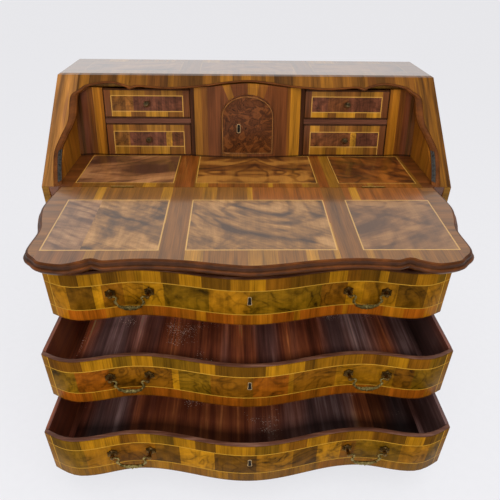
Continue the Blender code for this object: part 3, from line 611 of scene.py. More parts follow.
def stained_finish():
    """Drawer trays: red-stained boards with streaks from front to back, grey in places and dusty."""
    finish = Finish("stained_tray_wood", 0.42, coat=0.30, coat_roughness=0.20, specular=0.35)
    x, y, z = finish.x, finish.y, finish.z
    broad = finish.noise(finish.vector(x * 26.0, y * 1.6, 1.7), detail=6.0, rough=0.62)
    narrow = finish.noise(finish.vector(x * 150.0, y * 3.0, 0.4), detail=3.0)
    walls = finish.noise(finish.vector(x * 5.0, y * 5.0, z * 90.0), detail=4.0)
    boards = finish.noise(finish.vector(x * 6.5, y * 0.6, z * 2.0), detail=2.0)
    streak = 0.52 * broad + 0.28 * narrow + 0.20 * walls
    red = shades((0.36, 50, 24, 16), (0.48, 116, 58, 38), (0.57, 160, 86, 50), (0.66, 230, 150, 84))
    grey = shades((0.34, 34, 25, 24), (0.50, 104, 78, 76), (0.68, 184, 160, 160))
    greyness = finish.ramp(boards, ((0.49, (0.0, 0.0, 0.0, 1.0)), (0.62, (0.85, 0.85, 0.85, 1.0))))
    colour = finish.mix(greyness, finish.ramp(streak, red), finish.ramp(streak, grey))
    dust = finish.noise(finish.place, 260.0, 2.0) * finish.noise(finish.place, 9.0, 2.0)
    inside = abs(x) < TRAY_WALL
    colour = finish.mix((dust > 0.42) & inside, colour, tone(196, 176, 160))
    # Painted shadow of each front, darker close behind it; painted light on the middle and lower tray, which
    # show, more to the left; painted shade on the lower tray, darkest at its right end
    shown, low = z < UNDER_UPPER, z < UNDER_MIDDLE
    swell = ((abs(x) & 0.40) * (math.pi / HOLLOW_AT) + math.pi / 2).wave()
    bow = HOLLOW_BOW + (CENTRE_BOW - HOLLOW_BOW) * swell
    out = 0.2006 + 0.114 * shown + 0.098 * low
    behind_front = shades((0.14, 96, 96, 96), (0.175, 206, 206, 206), (0.26, 255, 255, 255))
    front_shadow = finish.ramp(y + bow + out, behind_front)
    lighter = 1.1 + shown * (1.6 - 1.5 * x)
    darker = (1.0 - 0.25 * low) * (1.0 - 0.55 * (low & (x > 0.37)))
    finish.set_colour(finish.shade(colour, 1.0 + inside * (front_shadow * lighter * darker - 1.0)))
    finish.set_bump(streak, 0.0006, 0.35)
    finish.set_roughness(0.30 + 0.30 * streak)
    return finish.material


def rim_finish():
    """Upper edges of the drawers: worn, dusty wood."""
    finish = Finish("worn_rim_wood", 0.55)
    streak = finish.noise(finish.vector(finish.x * 9.0, finish.y * 160.0, finish.z * 160.0), detail=4.0)
    cloud = finish.noise(finish.place, 12.0, 4.0)
    worn = shades((0.32, 58, 31, 22), (0.52, 100, 61, 45), (0.70, 146, 106, 86))
    finish.set_colour(finish.ramp(0.5 * streak + 0.5 * cloud, worn))
    finish.set_bump(streak, 0.0005, 0.3)
    return finish.material


def back_finish():
    """The unpolished back: upright softwood boards with knots."""
    finish = Finish("plain_back_boards", 0.75)
    x, z = finish.x, finish.z
    place = (x + 0.55) * 7.0
    board = place.work("FLOOR")
    across = x + 0.37 * board
    knot_sockets = {"Vector": finish.vector(across * 1.6, z * 0.9, board), "Scale": 3.4}
    knots = finish.make("ShaderNodeTexVoronoi", {}, knot_sockets, "Distance")
    years = finish.noise(finish.vector(across * 22.0, z * 1.2, board), detail=2.0)
    rings = ((years + 0.5 * knots) * 40.0).wave()
    colour = finish.mix(0.55 * rings, tone(172, 128, 82), tone(128, 86, 50))
    colour = finish.mix(knots < 0.045, colour, tone(74, 44, 26))
    colour = finish.mix(place.work("FRACT") < 0.012, colour, tone(40, 26, 18))
    finish.set_colour(colour)
    finish.set_bump(rings, 0.0005, 0.3)
    return finish.material


def brass_finish(name, dark, light):
    """Old brass, mottled dark and light in patches."""
    finish = Finish(name, 0.40, metallic=1.0)
    patches = finish.noise(finish.place, 190.0, 4.0)
    specks = finish.noise(finish.place, 900.0, 2.0)
    finish.set_colour(finish.ramp(0.7 * patches + 0.3 * specks, ((0.36, dark), (0.66, light))))
    finish.set_roughness(0.28 + 0.30 * patches)
    finish.set_bump(specks, 0.0003, 0.3)
    return finish.material


def bone_finish():
    """Bone of the keyhole inlays."""
    finish = Finish("bone_inlay", 0.38)
    streak = finish.noise(finish.vector(finish.x * 900.0, finish.y * 900.0, finish.z * 120.0), detail=3.0)
    finish.set_colour(finish.ramp(streak, shades((0.3, 120, 94, 58), (0.7, 184, 156, 108))))
    finish.set_bump(streak, 0.0002, 0.2)
    return finish.material


def shadow_finish():
    """The inside of a keyhole: painted shade, mottled."""
    finish = Finish("keyhole_dark", 0.8)
    shade_mottle = finish.noise(finish.place, 400.0, 2.0)
    finish.set_colour(finish.ramp(shade_mottle, shades((0.3, 10, 8, 7), (0.7, 26, 20, 16))))
    return finish.material


def smooth_path(keys, steps):
    """Points on a smooth curve through a few key points."""
    points = [Vector(key) for key in keys]
    points = [2 * points[0] - points[1]] + points + [2 * points[-1] - points[-2]]
    path = []
    for before, start, end, after in zip(points, points[1:], points[2:], points[3:]):
        for i in range(steps):
            t = i / steps
            path.append(0.5 * (2 * start + (end - before) * t
                               + (2 * before - 5 * start + 4 * end - after) * t ** 2
                               + (3 * start - before - 3 * end + after) * t ** 3))
    path.append(points[-2])
    return path


def flap_edge(side_inset, front_inset):
    """The shaped edge of the flap, right to left, as place across and distance from the hinge line."""
    half_front = [FLAP_CUSP, *FLAP_FRONT_KEYS]
    other_half = [(-x, reach) for x, reach in reversed(half_front)]
    right = smooth_path((*FLAP_SIDE_KEYS, FLAP_CUSP), EDGE_STEPS)
    middle = smooth_path(half_front + [(0.0, FLAP_REACH)] + other_half, EDGE_STEPS)
    left = [Vector((-point.x, point.y)) for point in reversed(right)]
    edge = right + middle[1:-1] + left
    drawn_in = []
    for i, point in enumerate(edge):
        along = edge[min(i + 1, len(edge) - 1)] - edge[max(i - 1, 0)]
        inwards = Vector((-along.y, along.x)).normalized()
        reach = 0.0 if i in (0, len(edge) - 1) else point.y + front_inset * inwards.y
        drawn_in.append((point.x + side_inset * inwards.x, reach))
    return drawn_in


def front_bow(x):
    """How far the serpentine drawer front reaches forward at a place across."""
    def ease(start, end, share):
        return start + (end - start) * (1 - math.cos(math.pi * share)) / 2
    across = abs(x)
    if across < HOLLOW_AT:
        return ease(CENTRE_BOW, HOLLOW_BOW, across / HOLLOW_AT)
    if across < CREST_AT:
        return ease(HOLLOW_BOW, CREST_BOW, (across - HOLLOW_AT) / (CREST_AT - HOLLOW_AT))
    return CREST_BOW * math.cos(math.pi / 2 * min(1.0, (across - CREST_AT) / END_TURN))


def facade_y(z):
    """How far back the leaning interior front lies at a height."""
    return HINGE_Y + FACADE_DEPTH + FACADE_LEAN * (z - BED)


def centre_y(x, z):
    """How far back the bowed middle of the interior front lies at a place across and a height."""
    return facade_y(z) - CENTRE_BULGE * (1 - (x / CENTRE_HALF) ** 2)


def smooth_mesh(shape, name):
    """A plain mesh from an edited shape, smooth but for its sharp edges."""
    made = bpy.data.meshes.new(name)
    shape.to_mesh(made)
    shape.free()
    made.shade_smooth()
    made.set_sharp_from_angle(angle=SHARP)
    return made


def mesh_of(shape, name):
    """A smooth mesh from an edited shape, with its faces turned outwards."""
    bmesh.ops.recalc_face_normals(shape, faces=shape.faces)
    return smooth_mesh(shape, name)


def skin(shape, rows, closed=False, finish_number=0):
    """Faces between each row of corners and the next; closed rows run round to their start."""
    for near, far in zip(rows, rows[1:]):
        for i in range(len(near) if closed else len(near) - 1):
            j = (i + 1) % len(near)
            shape.faces.new((near[i], near[j], far[j], far[i])).material_index = finish_number


def slab(shape, upper, lower):
    """Faces of a thin slab between two grids of corners, with its four edges closed."""
    for grid in (upper, lower):
        skin(shape, grid)
    for end in (0, -1):
        skin(shape, (upper[end], lower[end]))
        skin(shape, ([row[end] for row in upper], [row[end] for row in lower]))


def placed(name, data):
    """A new object in the scene for a mesh, a camera or a lamp."""
    made = bpy.data.objects.new(name, data)
    bpy.context.collection.objects.link(made)
    return made


def piece(name, mesh, finishes, body, stands_for=()):
    """Put a finished mesh in the scene, riding on its body."""
    for finish in finishes[len(mesh.materials):]:
        mesh.materials.append(finish)
    made = placed(name, mesh)
    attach(made, body)
    if stands_for:
        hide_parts(*stands_for)


def evaluated_mesh(holder):
    """The plain mesh that an object's modifiers give."""
    bpy.context.view_layer.update()
    mesh = bpy.data.meshes.new_from_object(holder.evaluated_get(bpy.context.evaluated_depsgraph_get()))
    holder.modifiers.clear()
    bpy.data.objects.remove(holder)
    return mesh


def softened(node, width, is_second):
    """A merged copy of a solid with its sharp edges eased; a rule picks the faces of the second finish."""
    shape = bmesh.new()
    shape.from_mesh(NODES[node].data)
    bmesh.ops.remove_doubles(shape, verts=shape.verts, dist=1e-5)
    bmesh.ops.dissolve_limit(shape, angle_limit=0.002, verts=shape.verts, edges=shape.edges)
    mesh = bpy.data.meshes.new(node + "_eased")
    shape.to_mesh(mesh)
    shape.free()
    mesh.materials.clear()
    mesh.shade_smooth()
    holder = placed(node + "_eased", mesh)
    bevel = holder.modifiers.new("eased", "BEVEL")
    bevel.width = width
    bevel.segments = 2
    bevel.limit_method = "ANGLE"
    bevel.angle_limit = math.radians(35)
    bevel.harden_normals = True
    mesh = evaluated_mesh(holder)
    for polygon in mesh.polygons:
        polygon.material_index = int(is_second(polygon))
    return mesh


def joined(name, *parts):
    """One mesh of one finish from several, each put in its place by a matrix."""
    shape = bmesh.new()
    for mesh, place in parts:
        start = len(shape.verts)
        shape.from_mesh(mesh)
        shape.verts.ensure_lookup_table()
        bmesh.ops.transform(shape, matrix=place, verts=shape.verts[start:])
    for face in shape.faces:
        face.material_index = 0
    return smooth_mesh(shape, name)


def turned(name, profile, sides):
    """A turned piece about +Z from pairs of radius and height, closed at both ends."""
    shape = bmesh.new()
    angles = [2 * math.pi * i / sides for i in range(sides)]
    around = [(math.cos(angle), math.sin(angle)) for angle in angles]
    loops = []
    for radius, height in profile:
        loops.append([shape.verts.new((radius * x, radius * y, height)) for x, y in around])
    skin(shape, loops, closed=True)
    shape.faces.new(loops[0])
    shape.faces.new(loops[-1])
    return mesh_of(shape, name)


def new_tree(name, inputs):
    """The nodes of a new Geometry Nodes tree that takes a shape, named inputs and a finish."""
    tree = bpy.data.node_groups.new(name, "GeometryNodeTree")
    for socket, kind in {"Shape": "Geometry", **inputs, "Finish": "Material"}.items():
        tree.interface.new_socket(socket, in_out="INPUT", socket_type="NodeSocket" + kind)
    tree.interface.new_socket("Shape", in_out="OUTPUT", socket_type="NodeSocketGeometry")
    return Nodes(tree)


def taken_in(nodes, name):
    """An input of a tree, by its name."""
    return nodes.make("NodeGroupInput", {}, {}, name)


def stored(nodes, name, kind):
    """What each point of the shape holds under a name."""
    return nodes.make("GeometryNodeInputNamedAttribute", {"data_type": kind}, {"Name": name}, "Attribute")


def end_tree(nodes, shape):
    """Make copies real, give the shape its finish and hand it out."""
    real = nodes.make("GeometryNodeRealizeInstances", {}, {"Geometry": shape})
    sockets = {"Geometry": real, "Material": taken_in(nodes, "Finish")}
    nodes.make("NodeGroupOutput", {}, {"Shape": nodes.make("GeometryNodeSetMaterial", {}, sockets)})
    return nodes.tree


def rod_tree():
    """A round rod along the edges of a shape, as thick at each point as its 'thickness' says."""
    nodes = new_tree("rod_along_path", {"Sides": "Int"})
    curve = nodes.make("GeometryNodeMeshToCurve", {}, {"Mesh": taken_in(nodes, "Shape")})
    circle_sockets = {"Resolution": taken_in(nodes, "Sides"), "Radius": 1.0}
    circle = nodes.make("GeometryNodeCurvePrimitiveCircle", {}, circle_sockets)
    thickness = stored(nodes, "thickness", "FLOAT")
    sockets = {"Curve": curve, "Profile Curve": circle, "Scale": thickness, "Fill Caps": True}
    return end_tree(nodes, nodes.make("GeometryNodeCurveToMesh", {}, sockets))


def setting_tree():
    """Copies of one piece set on points, turned and sized as the points' 'turn' and 'size' say."""
    nodes = new_tree("pieces_on_points", {"Piece": "Object"})
    found = nodes.make("GeometryNodeObjectInfo", {}, {"Object": taken_in(nodes, "Piece")}, "Geometry")
    turn = nodes.make("FunctionNodeEulerToRotation", {}, {"Euler": stored(nodes, "turn", "FLOAT_VECTOR")})
    sockets = {"Points": taken_in(nodes, "Shape"), "Instance": found, "Rotation": turn,
               "Scale": stored(nodes, "size", "FLOAT_VECTOR")}
    return end_tree(nodes, nodes.make("GeometryNodeInstanceOnPoints", {}, sockets))


ROD_TREE = rod_tree()
SETTING_TREE = setting_tree()


def grown(name, mesh, tree, values):
    """The plain mesh that a tree makes of a shape, with the tree's inputs set by name."""
    holder = placed(name, mesh)
    modifier = holder.modifiers.new("grown", "NODES")
    modifier.node_group = tree
    for item in tree.interface.items_tree:
        if item.in_out == "INPUT" and item.name in values:
            modifier[item.identifier] = values[item.name]
    made = evaluated_mesh(holder)
    made.shade_smooth()
    return made


def rod(name, path, thicknesses, finish, sides=10, closed=False):
    """A rod along points, with a thickness at each."""
    mesh = bpy.data.meshes.new(name + "_path")
    edges = [(i, i + 1) for i in range(len(path) - 1)]
    if closed:
        edges.append((len(path) - 1, 0))
    mesh.from_pydata([tuple(point) for point in path], edges, [])
    attribute = mesh.attributes.new("thickness", "FLOAT", "POINT")
    attribute.data.foreach_set("value", thicknesses)
    return grown(name, mesh, ROD_TREE, {"Sides": sides, "Finish": finish})


def set_out(name, template, places, finish):
    """Copies of a template mesh at places, each a point, a turn and a size."""
    pattern = placed(name + "_pattern", template)
    mesh = bpy.data.meshes.new(name + "_points")
    mesh.from_pydata([tuple(point) for point, _, _ in places], [], [])
    for attribute_name, which in (("turn", 1), ("size", 2)):
        attribute = mesh.attributes.new(attribute_name, "FLOAT_VECTOR", "POINT")
        attribute.data.foreach_set("vector", [value for place in places for value in place[which]])
    made = grown(name, mesh, SETTING_TREE, {"Piece": pattern, "Finish": finish})
    bpy.data.objects.remove(pattern)
    return made


def leaf():
    """A small cast leaf along +X, one unit long and wide, with a raised rib and a lifted tip."""
    long, wide = 7, 4
    shape = bmesh.new()
    upper, lower = [], []
    for i in range(long + 1):
        u = i / long
        half = 0.5 * math.sin(math.pi * (0.12 + 0.86 * u)) ** 0.8 * (1.0 + 0.12 * math.sin(9.0 * u))
        rib = 0.35 + 0.65 * math.sin(math.pi * (0.15 + 0.7 * u))
        steps = [2 * k / wide - 1 for k in range(wide + 1)]
        rises = [(1.0 - 0.65 * abs(v)) * rib + 0.25 * u ** 3 for v in steps]
        upper.append([shape.verts.new((u, half * v, rise)) for v, rise in zip(steps, rises)])
        lower.append([shape.verts.new((u, half * v, 0.0)) for v in steps])
    slab(shape, upper, lower)
    return mesh_of(shape, "leaf")


def rosette_leaves(brass):
    """A ring of broad leaves over a ring of narrow ones, about +Z."""
    count = 6
    rings = ((0.0032, (0.0112, 0.0092, 0.0036), math.pi / count), (0.0042, (0.0082, 0.0052, 0.0024), 0.0))
    places = []
    for start, size, offset in rings:
        for i in range(count):
            angle = 2 * math.pi * i / count + offset
            point = (start * math.cos(angle), start * math.sin(angle), 0.0012)
            places.append((point, (0.0, 0.0, angle), size))
    return set_out("rosette_leaves", leaf(), places, brass)


def bail_path():
    """The line of a hanging bail about its pivot: pins, swan necks and a drooping grip."""
    half = HANDLE_SPAN / 2 - EYE_RADIUS - 0.0003
    neck = half - 0.005
    keys = [(-half, 0.0), (-neck, 0.0), (-neck + 0.10 * BAIL_DROP, -0.16 * BAIL_DROP),
            (-neck, -0.50 * BAIL_DROP), (-0.82 * neck, -0.80 * BAIL_DROP),
            (-0.42 * neck, -0.94 * BAIL_DROP), (0.0, -BAIL_DROP)]
    keys += [(-x, z) for x, z in reversed(keys[:-1])]
    return [Vector((point.x, 0.0, point.y)) for point in smooth_path(keys, 5)]


def bail_mesh(brass):
    """A bail with a swelling grip, leaves along it and a boss at its middle."""
    path = bail_path()
    thick = [0.0025 + 0.0016 * max(0.0, 1.0 - abs(point.x) / 0.018) for point in path]
    grip = rod("bail_rod", path, thick, brass)
    low = -BAIL_DROP
    upright = math.pi / 2
    places = [((0.0, -0.0012, low + 0.003), (upright, math.pi / 2, 0.0), (0.0100, 0.0120, 0.0052)),
              ((0.0, -0.0012, low - 0.001), (upright, -math.pi / 2, 0.0), (0.0100, 0.0120, 0.0050))]
    pairs = (((0.002, -0.0012, low), 0.0, (0.017, 0.0150, 0.0048)),
             ((0.016, -0.0010, low + 0.0010), -0.35, (0.016, 0.0100, 0.0042)),
             ((0.0345, -0.0010, -0.024), -1.35, (0.014, 0.0080, 0.0040)))
    for (x, y, z), tilt, size in pairs:
        places.append(((x, y, z), (upright, tilt, 0.0), size))
        places.append(((-x, y, z), (upright, math.pi - tilt, 0.0), size))
    leaves = set_out("bail_leaves", leaf(), places, brass)
    boss_profile = ((0.0010, -0.0010), (0.0036, 0.0010), (0.0044, 0.0034), (0.0030, 0.0058),
                    (0.0008, 0.0066))
    boss = turned("bail_boss", boss_profile, 14)
    at_middle = Matrix.Translation((0.0, 0.0, low)) @ FORWARD
    return joined("bail", (grip, STILL), (leaves, STILL), (boss, at_middle))


def handle_seat(x):
    """Where a rosette sits on the drawer front: its centre and its outward direction, in plan."""
    step = ROSETTE_RADIUS / 4
    slope = (front_bow(x + step) - front_bow(x - step)) / (2 * step)
    outward = Vector((-slope, -1.0)).normalized()
    along = Vector((-outward.y, outward.x))
    rim = [along * step * i for i in range(-4, 5)]
    clear = [-front_bow(x + point.x) - (point.y - front_bow(x)) for point in rim]
    return Vector((x, -front_bow(x) + min(clear) - 0.0003)), outward


def stud_profile(length):
    """A rosette's stud from the drawer front to past its eye: pairs of radius and height."""
    foot = ((0.0086, 0.0), (0.0092, 0.0010), (0.0082, 0.0018), (0.0064, 0.0030), (0.0054, 0.0046),
            (0.0042, 0.0060))
    eye = ((0.0040, -0.0050), (0.0058, -0.0026), (EYE_RADIUS, 0.0), (0.0058, 0.0026), (0.0030, 0.0050),
           (0.0008, 0.0054))
    return (*foot, *[(radius, length + past) for radius, past in eye])


def hang_handles(brass, bail_brass):
    """Leaf rosettes and swan-neck bails on the three long drawers."""
    leaves = rosette_leaves(brass)
    bail = bail_mesh(bail_brass)
    for drawer, level, out in LONG_DRAWERS:
        on_front = Matrix.Translation((0.0, HINGE_Y - out, level + HANDLE_LEVEL))
        for side, sign in SIDES:
            centre = sign * HANDLE_AT
            eyes = [centre + end_sign * HANDLE_SPAN / 2 for _, end_sign in SIDES]
            pivot_y = -max(front_bow(x) for x in eyes) - EYE_REACH
            for (end, _), eye_x in zip(SIDES, eyes):
                seat, outward = handle_seat(eye_x)
                seat, outward = handle_seat(eye_x - outward.x * (pivot_y - seat.y) / outward.y)
                stud = turned("stud", stud_profile((pivot_y - seat.y) / outward.y), 18)
                turn = Matrix.Rotation(math.atan2(outward.x, -outward.y), 4, "Z") @ FORWARD
                place = on_front @ Matrix.Translation((seat.x, seat.y, 0.0)) @ turn
                node = f"{drawer}_{side}_{end}_rosette"
                mesh = joined(node, (stud, place), (leaves, place))
                piece("leaf_" + node, mesh, [brass], drawer + "_drawer", (node,))
            node = f"{drawer}_{side}_bail"
            mesh = joined(node, (bail, on_front @ Matrix.Translation((centre, pivot_y, 0.0))))
            piece("swan_neck_" + node, mesh, [bail_brass], node, (node,))


def keyhole_mesh(width, height, place, flare=0.0):
    """A keyhole inlay that faces -Y: a thin bone border round a slot painted dark as shade, the slot as its
    second finish.
    """
    count = 40
    outline = []
    for i in range(count):
        angle = 2 * math.pi * i / count
        across = math.copysign(abs(math.cos(angle)) ** 0.55, math.cos(angle))
        up = math.copysign(abs(math.sin(angle)) ** 0.45, math.sin(angle))
        across *= 1.0 - flare * (0.6 * up + (1.0 - up * up) ** 2)
        outline.append((0.5 * width * across, 0.5 * height * up))
    shape = bmesh.new()
    border = ((1.0, 1.0, 0.0004), (1.0, 1.0, -0.0005), (0.94, 0.97, -0.0009), (0.74, 0.86, -0.0009))
    slot = (0.72, 0.85, -0.0001)
    loops = []
    for wide, tall, y in (*border, slot):
        loops.append([shape.verts.new((wide * x, y, tall * z)) for x, z in outline])
    skin(shape, loops[:-1], closed=True)
    skin(shape, loops[-2:], closed=True, finish_number=1)
    shape.faces.new(loops[0])
    shape.faces.new(loops[-1]).material_index = 1
    mesh = mesh_of(shape, "keyhole")
    mesh.transform(place)
    return mesh


def set_keyholes(bone, dark):
    """Keyhole inlays on the long drawers, on the door and on the outer face of the flap."""
    finishes = [bone, dark]
    for drawer, level, out in LONG_DRAWERS:
        place = Matrix.Translation((0.0, HINGE_Y - out - CENTRE_BOW, level + KEYHOLE_LEVEL))
        mesh = keyhole_mesh(0.0125, 0.027, place, 0.24)
        piece(drawer + "_keyhole_inlay", mesh, finishes, drawer + "_drawer")
    x, z = -0.026, 0.844
    place = Matrix.Translation((x, centre_y(x, z), z)) @ Matrix.Rotation(-FACADE_ANGLE, 4, "X")
    piece("door_keyhole_inlay", keyhole_mesh(0.011, 0.026, place), finishes, "door")
    place = FLAP_PLACE @ Matrix.Translation((0.0, -0.302, -0.0280)) @ FORWARD
    piece("flap_keyhole_inlay", keyhole_mesh(0.014, 0.030, place), finishes, "flap")


def build_flap(veneer, moulding):
    """The flap with a moulded edge: a rounded upper lip, a hollow and a lower lip that stands further out."""
    side_inset, front_inset = 0.014, 0.007
    profile = ((1.00, -0.0004), (0.97, -0.0014), (0.90, -0.0016), (0.74, -0.0020), (0.58, -0.0036),
               (0.50, -0.0062), (0.50, -0.0096), (0.54, -0.0122), (0.46, -0.0142), (0.30, -0.0152),
               (0.10, -0.0158), (0.00, -0.0172), (0.00, -0.0212), (0.10, -0.0226), (0.26, -0.0240),
               (0.45, -0.0262), (0.62, -0.0280))
    shape = bmesh.new()
    loops = []
    for share, level in profile:
        edge = flap_edge(side_inset * share, front_inset * share)
        ring = [(x, max(reach, HINGE_GAP)) for x, reach in edge]
        for left, right in HINGE_NOTCHES:
            ring += [(left, HINGE_GAP), (left, HINGE_NOTCH_DEPTH)]
            ring += [(right, HINGE_NOTCH_DEPTH), (right, HINGE_GAP)]
        loops.append([shape.verts.new(FLAP_PLACE @ Vector((x, -reach, level))) for x, reach in ring])
    skin(shape, loops, closed=True, finish_number=1)
    shape.faces.new(loops[0])
    shape.faces.new(loops[-1])
    mesh = mesh_of(shape, "moulded_flap")
    piece("moulded_flap", mesh, [veneer, moulding], "flap", ("flap",))


def slant_point(x, up, back=0.0):
    """A point on the slanted front, moved level into the desk."""
    return Vector((x, HINGE_Y + up * math.cos(SLANT_ANGLE) + back, BED + up * math.sin(SLANT_ANGLE)))


# The moulding round the opening, from its outer edge: share of its width, and depth
MOULDING_STEPS = ((0.0, 0.0), (0.02, 0.0020), (0.09, 0.0024), (0.14, 0.0010), (0.28, 0.0002),
                  (0.44, 0.0006), (0.60, 0.0022), (0.74, 0.0050), (0.80, 0.0066), (0.83, 0.0088),
                  (0.93, 0.0098), (1.0, 0.0125), (1.0, SLANT_THICKNESS))


def moulding_ring(share):
    """The line of the moulding round the opening, from its outer edge to its inner one."""
    side_start, side_width, head_start, head_width = -0.0065, 0.017, 0.008, 0.0115
    edge = flap_edge(side_start + side_width * share, head_start + head_width * share)
    return [(x, max(up, FRAME_FOOT)) for x, up in edge]


def build_slanted_frame(veneer, moulding):
    """The slanted frame round the opening, with a dark moulding worked on its inner edge."""
    shape = bmesh.new()

    def corner_at(x, up, back):
        return shape.verts.new(slant_point(x, up, back))

    loops = [[corner_at(x, up, back) for x, up in moulding_ring(share)] for share, back in MOULDING_STEPS]
    outer = moulding_ring(0.0)
    at_side = [CASE_HALF - abs(x) < SLANT_LENGTH - up for x, up in outer]
    rim = [(math.copysign(CASE_HALF, x), up) if side else (x, SLANT_LENGTH)
           for (x, up), side in zip(outer, at_side)]
    border = []
    for back in (0.0, SLANT_THICKNESS):
        corners = {sign: corner_at(sign * CASE_HALF, SLANT_LENGTH, back) for sign in (-1, 1)}
        border.append(([corner_at(x, up, back) for x, up in rim], corners))
    for i in range(len(outer) - 1):
        turns = at_side[i] != at_side[i + 1]
        sign = 1 if outer[i][0] > 0 else -1
        rows = [[edge[i], *([corners[sign]] if turns else []), edge[i + 1]] for edge, corners in border]
        for loop, row in zip((loops[0], loops[-1]), rows):
            shape.faces.new([loop[i], loop[i + 1], *reversed(row)])
        skin(shape, rows)
    skin(shape, loops, finish_number=1)
    for i in (0, -1):
        shape.faces.new([loop[i] for loop in loops] + [edge[i] for edge, _ in reversed(border)])
    mesh = mesh_of(shape, "framed_slant")
    piece("framed_slant", mesh, [veneer, moulding], "case", ("slanted_frame",))


def lining_point(sign, x, up, back, proud):
    """A point that stands proud of the moulding on one side of the opening."""
    point = slant_point(abs(x), up, back) + proud * Vector((-0.72, -0.44, 0.54))
    return (sign * point.x, point.y, point.z)


def build_stay_plates(steel):
    """Thin steel plates that line the foot of the opening on both sides, each held by screws."""
    plate_height, under, over, screw_seat = 0.112, 0.0002, 0.0013, 0.0012
    rings = [(moulding_ring(share), back) for share, back in MOULDING_STEPS[6:-1]]
    count = next(i for i, (_, up) in enumerate(rings[0][0]) if up > plate_height)
    screw = turned("screw", ((0.0030, -0.0002), (0.0030, 0.0003), (0.0022, 0.0008), (0.0006, 0.0010)), 12)
    for side, sign in SIDES:
        shape = bmesh.new()
        grids = []
        for proud in (under, over):
            grid = []
            for ring, back in rings:
                points = [lining_point(sign, *place, back, proud) for place in ring[1:count]]
                grid.append([shape.verts.new(point) for point in points])
            grids.append(grid)
        slab(shape, *grids)
        plate = mesh_of(shape, "stay_plate")
        ring, back = rings[2]
        places = []
        for i in (3, count // 2, count - 3):
            point = lining_point(sign, *ring[i], back, screw_seat)
            places.append((point, (0.68, sign * -0.80, 0.0), (1.0, 1.0, 1.0)))
        name = side + "_stay_plate"
        screws = set_out(side + "_stay_screws", screw, places, steel)
        piece(name, joined(name, (plate, STILL), (screws, STILL)), [steel], "case")


def build_door(burl, rim, bead):
    """The arched door with eased edges, and a light bead that follows its outline."""
    mesh = softened("arched_door", 0.0008, lambda polygon: abs(polygon.normal.y) < 0.5)
    piece("burl_door", mesh, [burl, rim], "door", ("arched_door",))
    half, spring, sill, rise = 0.0735, 0.8753, 0.7730, 0.0557
    turns = [math.pi * i / 24 for i in range(25)]
    outline = [(half - 2 * half * i / 12, sill) for i in range(12)]
    outline += [(-half, sill + (spring - sill) * i / 8) for i in range(8)]
    outline += [(-half * math.cos(turn), spring + rise * math.sin(turn)) for turn in turns]
    outline += [(half, spring + (sill - spring) * i / 8) for i in range(1, 8)]
    path = [(x, centre_y(x, z) - 0.0001, z) for x, z in outline]
    mesh = rod("door_bead", path, [0.0017] * len(path), bead, 8, closed=True)
    piece("door_bead", mesh, [bead], "door")


def build_knobs(brass):
    """Turned knobs of the small drawers, each on a little plate."""
    profile = ((0.0072, 0.0), (0.0078, 0.0008), (0.0074, 0.0018), (0.0052, 0.0028), (0.0040, 0.0046),
               (0.0038, 0.0074), (0.0046, 0.0096), (0.0066, 0.0114), (0.0080, 0.0136), (0.0085, 0.0156),
               (0.0080, 0.0178), (0.0066, 0.0196), (0.0046, 0.0206), (0.0020, 0.0211), (0.0006, 0.0212))
    knob = turned("knob", profile, 28)
    turn = Matrix.Rotation(math.pi / 2 - FACADE_ANGLE, 4, "X")
    for tier, level, height in SMALL_DRAWERS:
        z = level + height / 2
        for side, sign in SIDES:
            drawer = f"{tier}_{side}"
            place = Matrix.Translation((sign * SMALL_DRAWER_AT, facade_y(z) - 0.0003, z)) @ turn
            name = drawer + "_turned_knob"
            mesh = joined(name, (knob, place))
            piece(name, mesh, [brass], drawer + "_small_drawer", (drawer + "_knob",))


def build_feet(dark_wood):
    """Bun feet turned with a neck and a collar."""
    profile = ((0.0255, 0.0), (0.0280, 0.0012), (0.0350, 0.0075), (0.0415, 0.0165), (0.0445, 0.0270),
               (0.0450, 0.0340), (0.0440, 0.0420), (0.0405, 0.0505), (0.0350, 0.0580), (0.0322, 0.0610),
               (0.0322, 0.0625), (0.0306, 0.0640), (0.0300, 0.0665), (0.0310, 0.0690), (0.0345, 0.0710),
               (0.0360, 0.0735), (0.0360, 0.0800), (0.0350, 0.0817))
    foot = turned("foot", profile, 48)
    for end, y in (("front", HINGE_Y + FOOT_INSET), ("back", HINGE_Y + CASE_DEPTH - FOOT_INSET)):
        for side, sign in SIDES:
            node = f"{end}_{side}_foot"
            name = "turned_" + node
            mesh = joined(name, (foot, Matrix.Translation((sign * (CASE_HALF - FOOT_INSET), y, 0.0))))
            piece(name, mesh, [dark_wood], "case", (node,))


def faces_front(polygon):
    """Whether a face looks out of the front of a drawer."""
    return polygon.normal.y < -0.35 and abs(polygon.normal.z) < 0.75


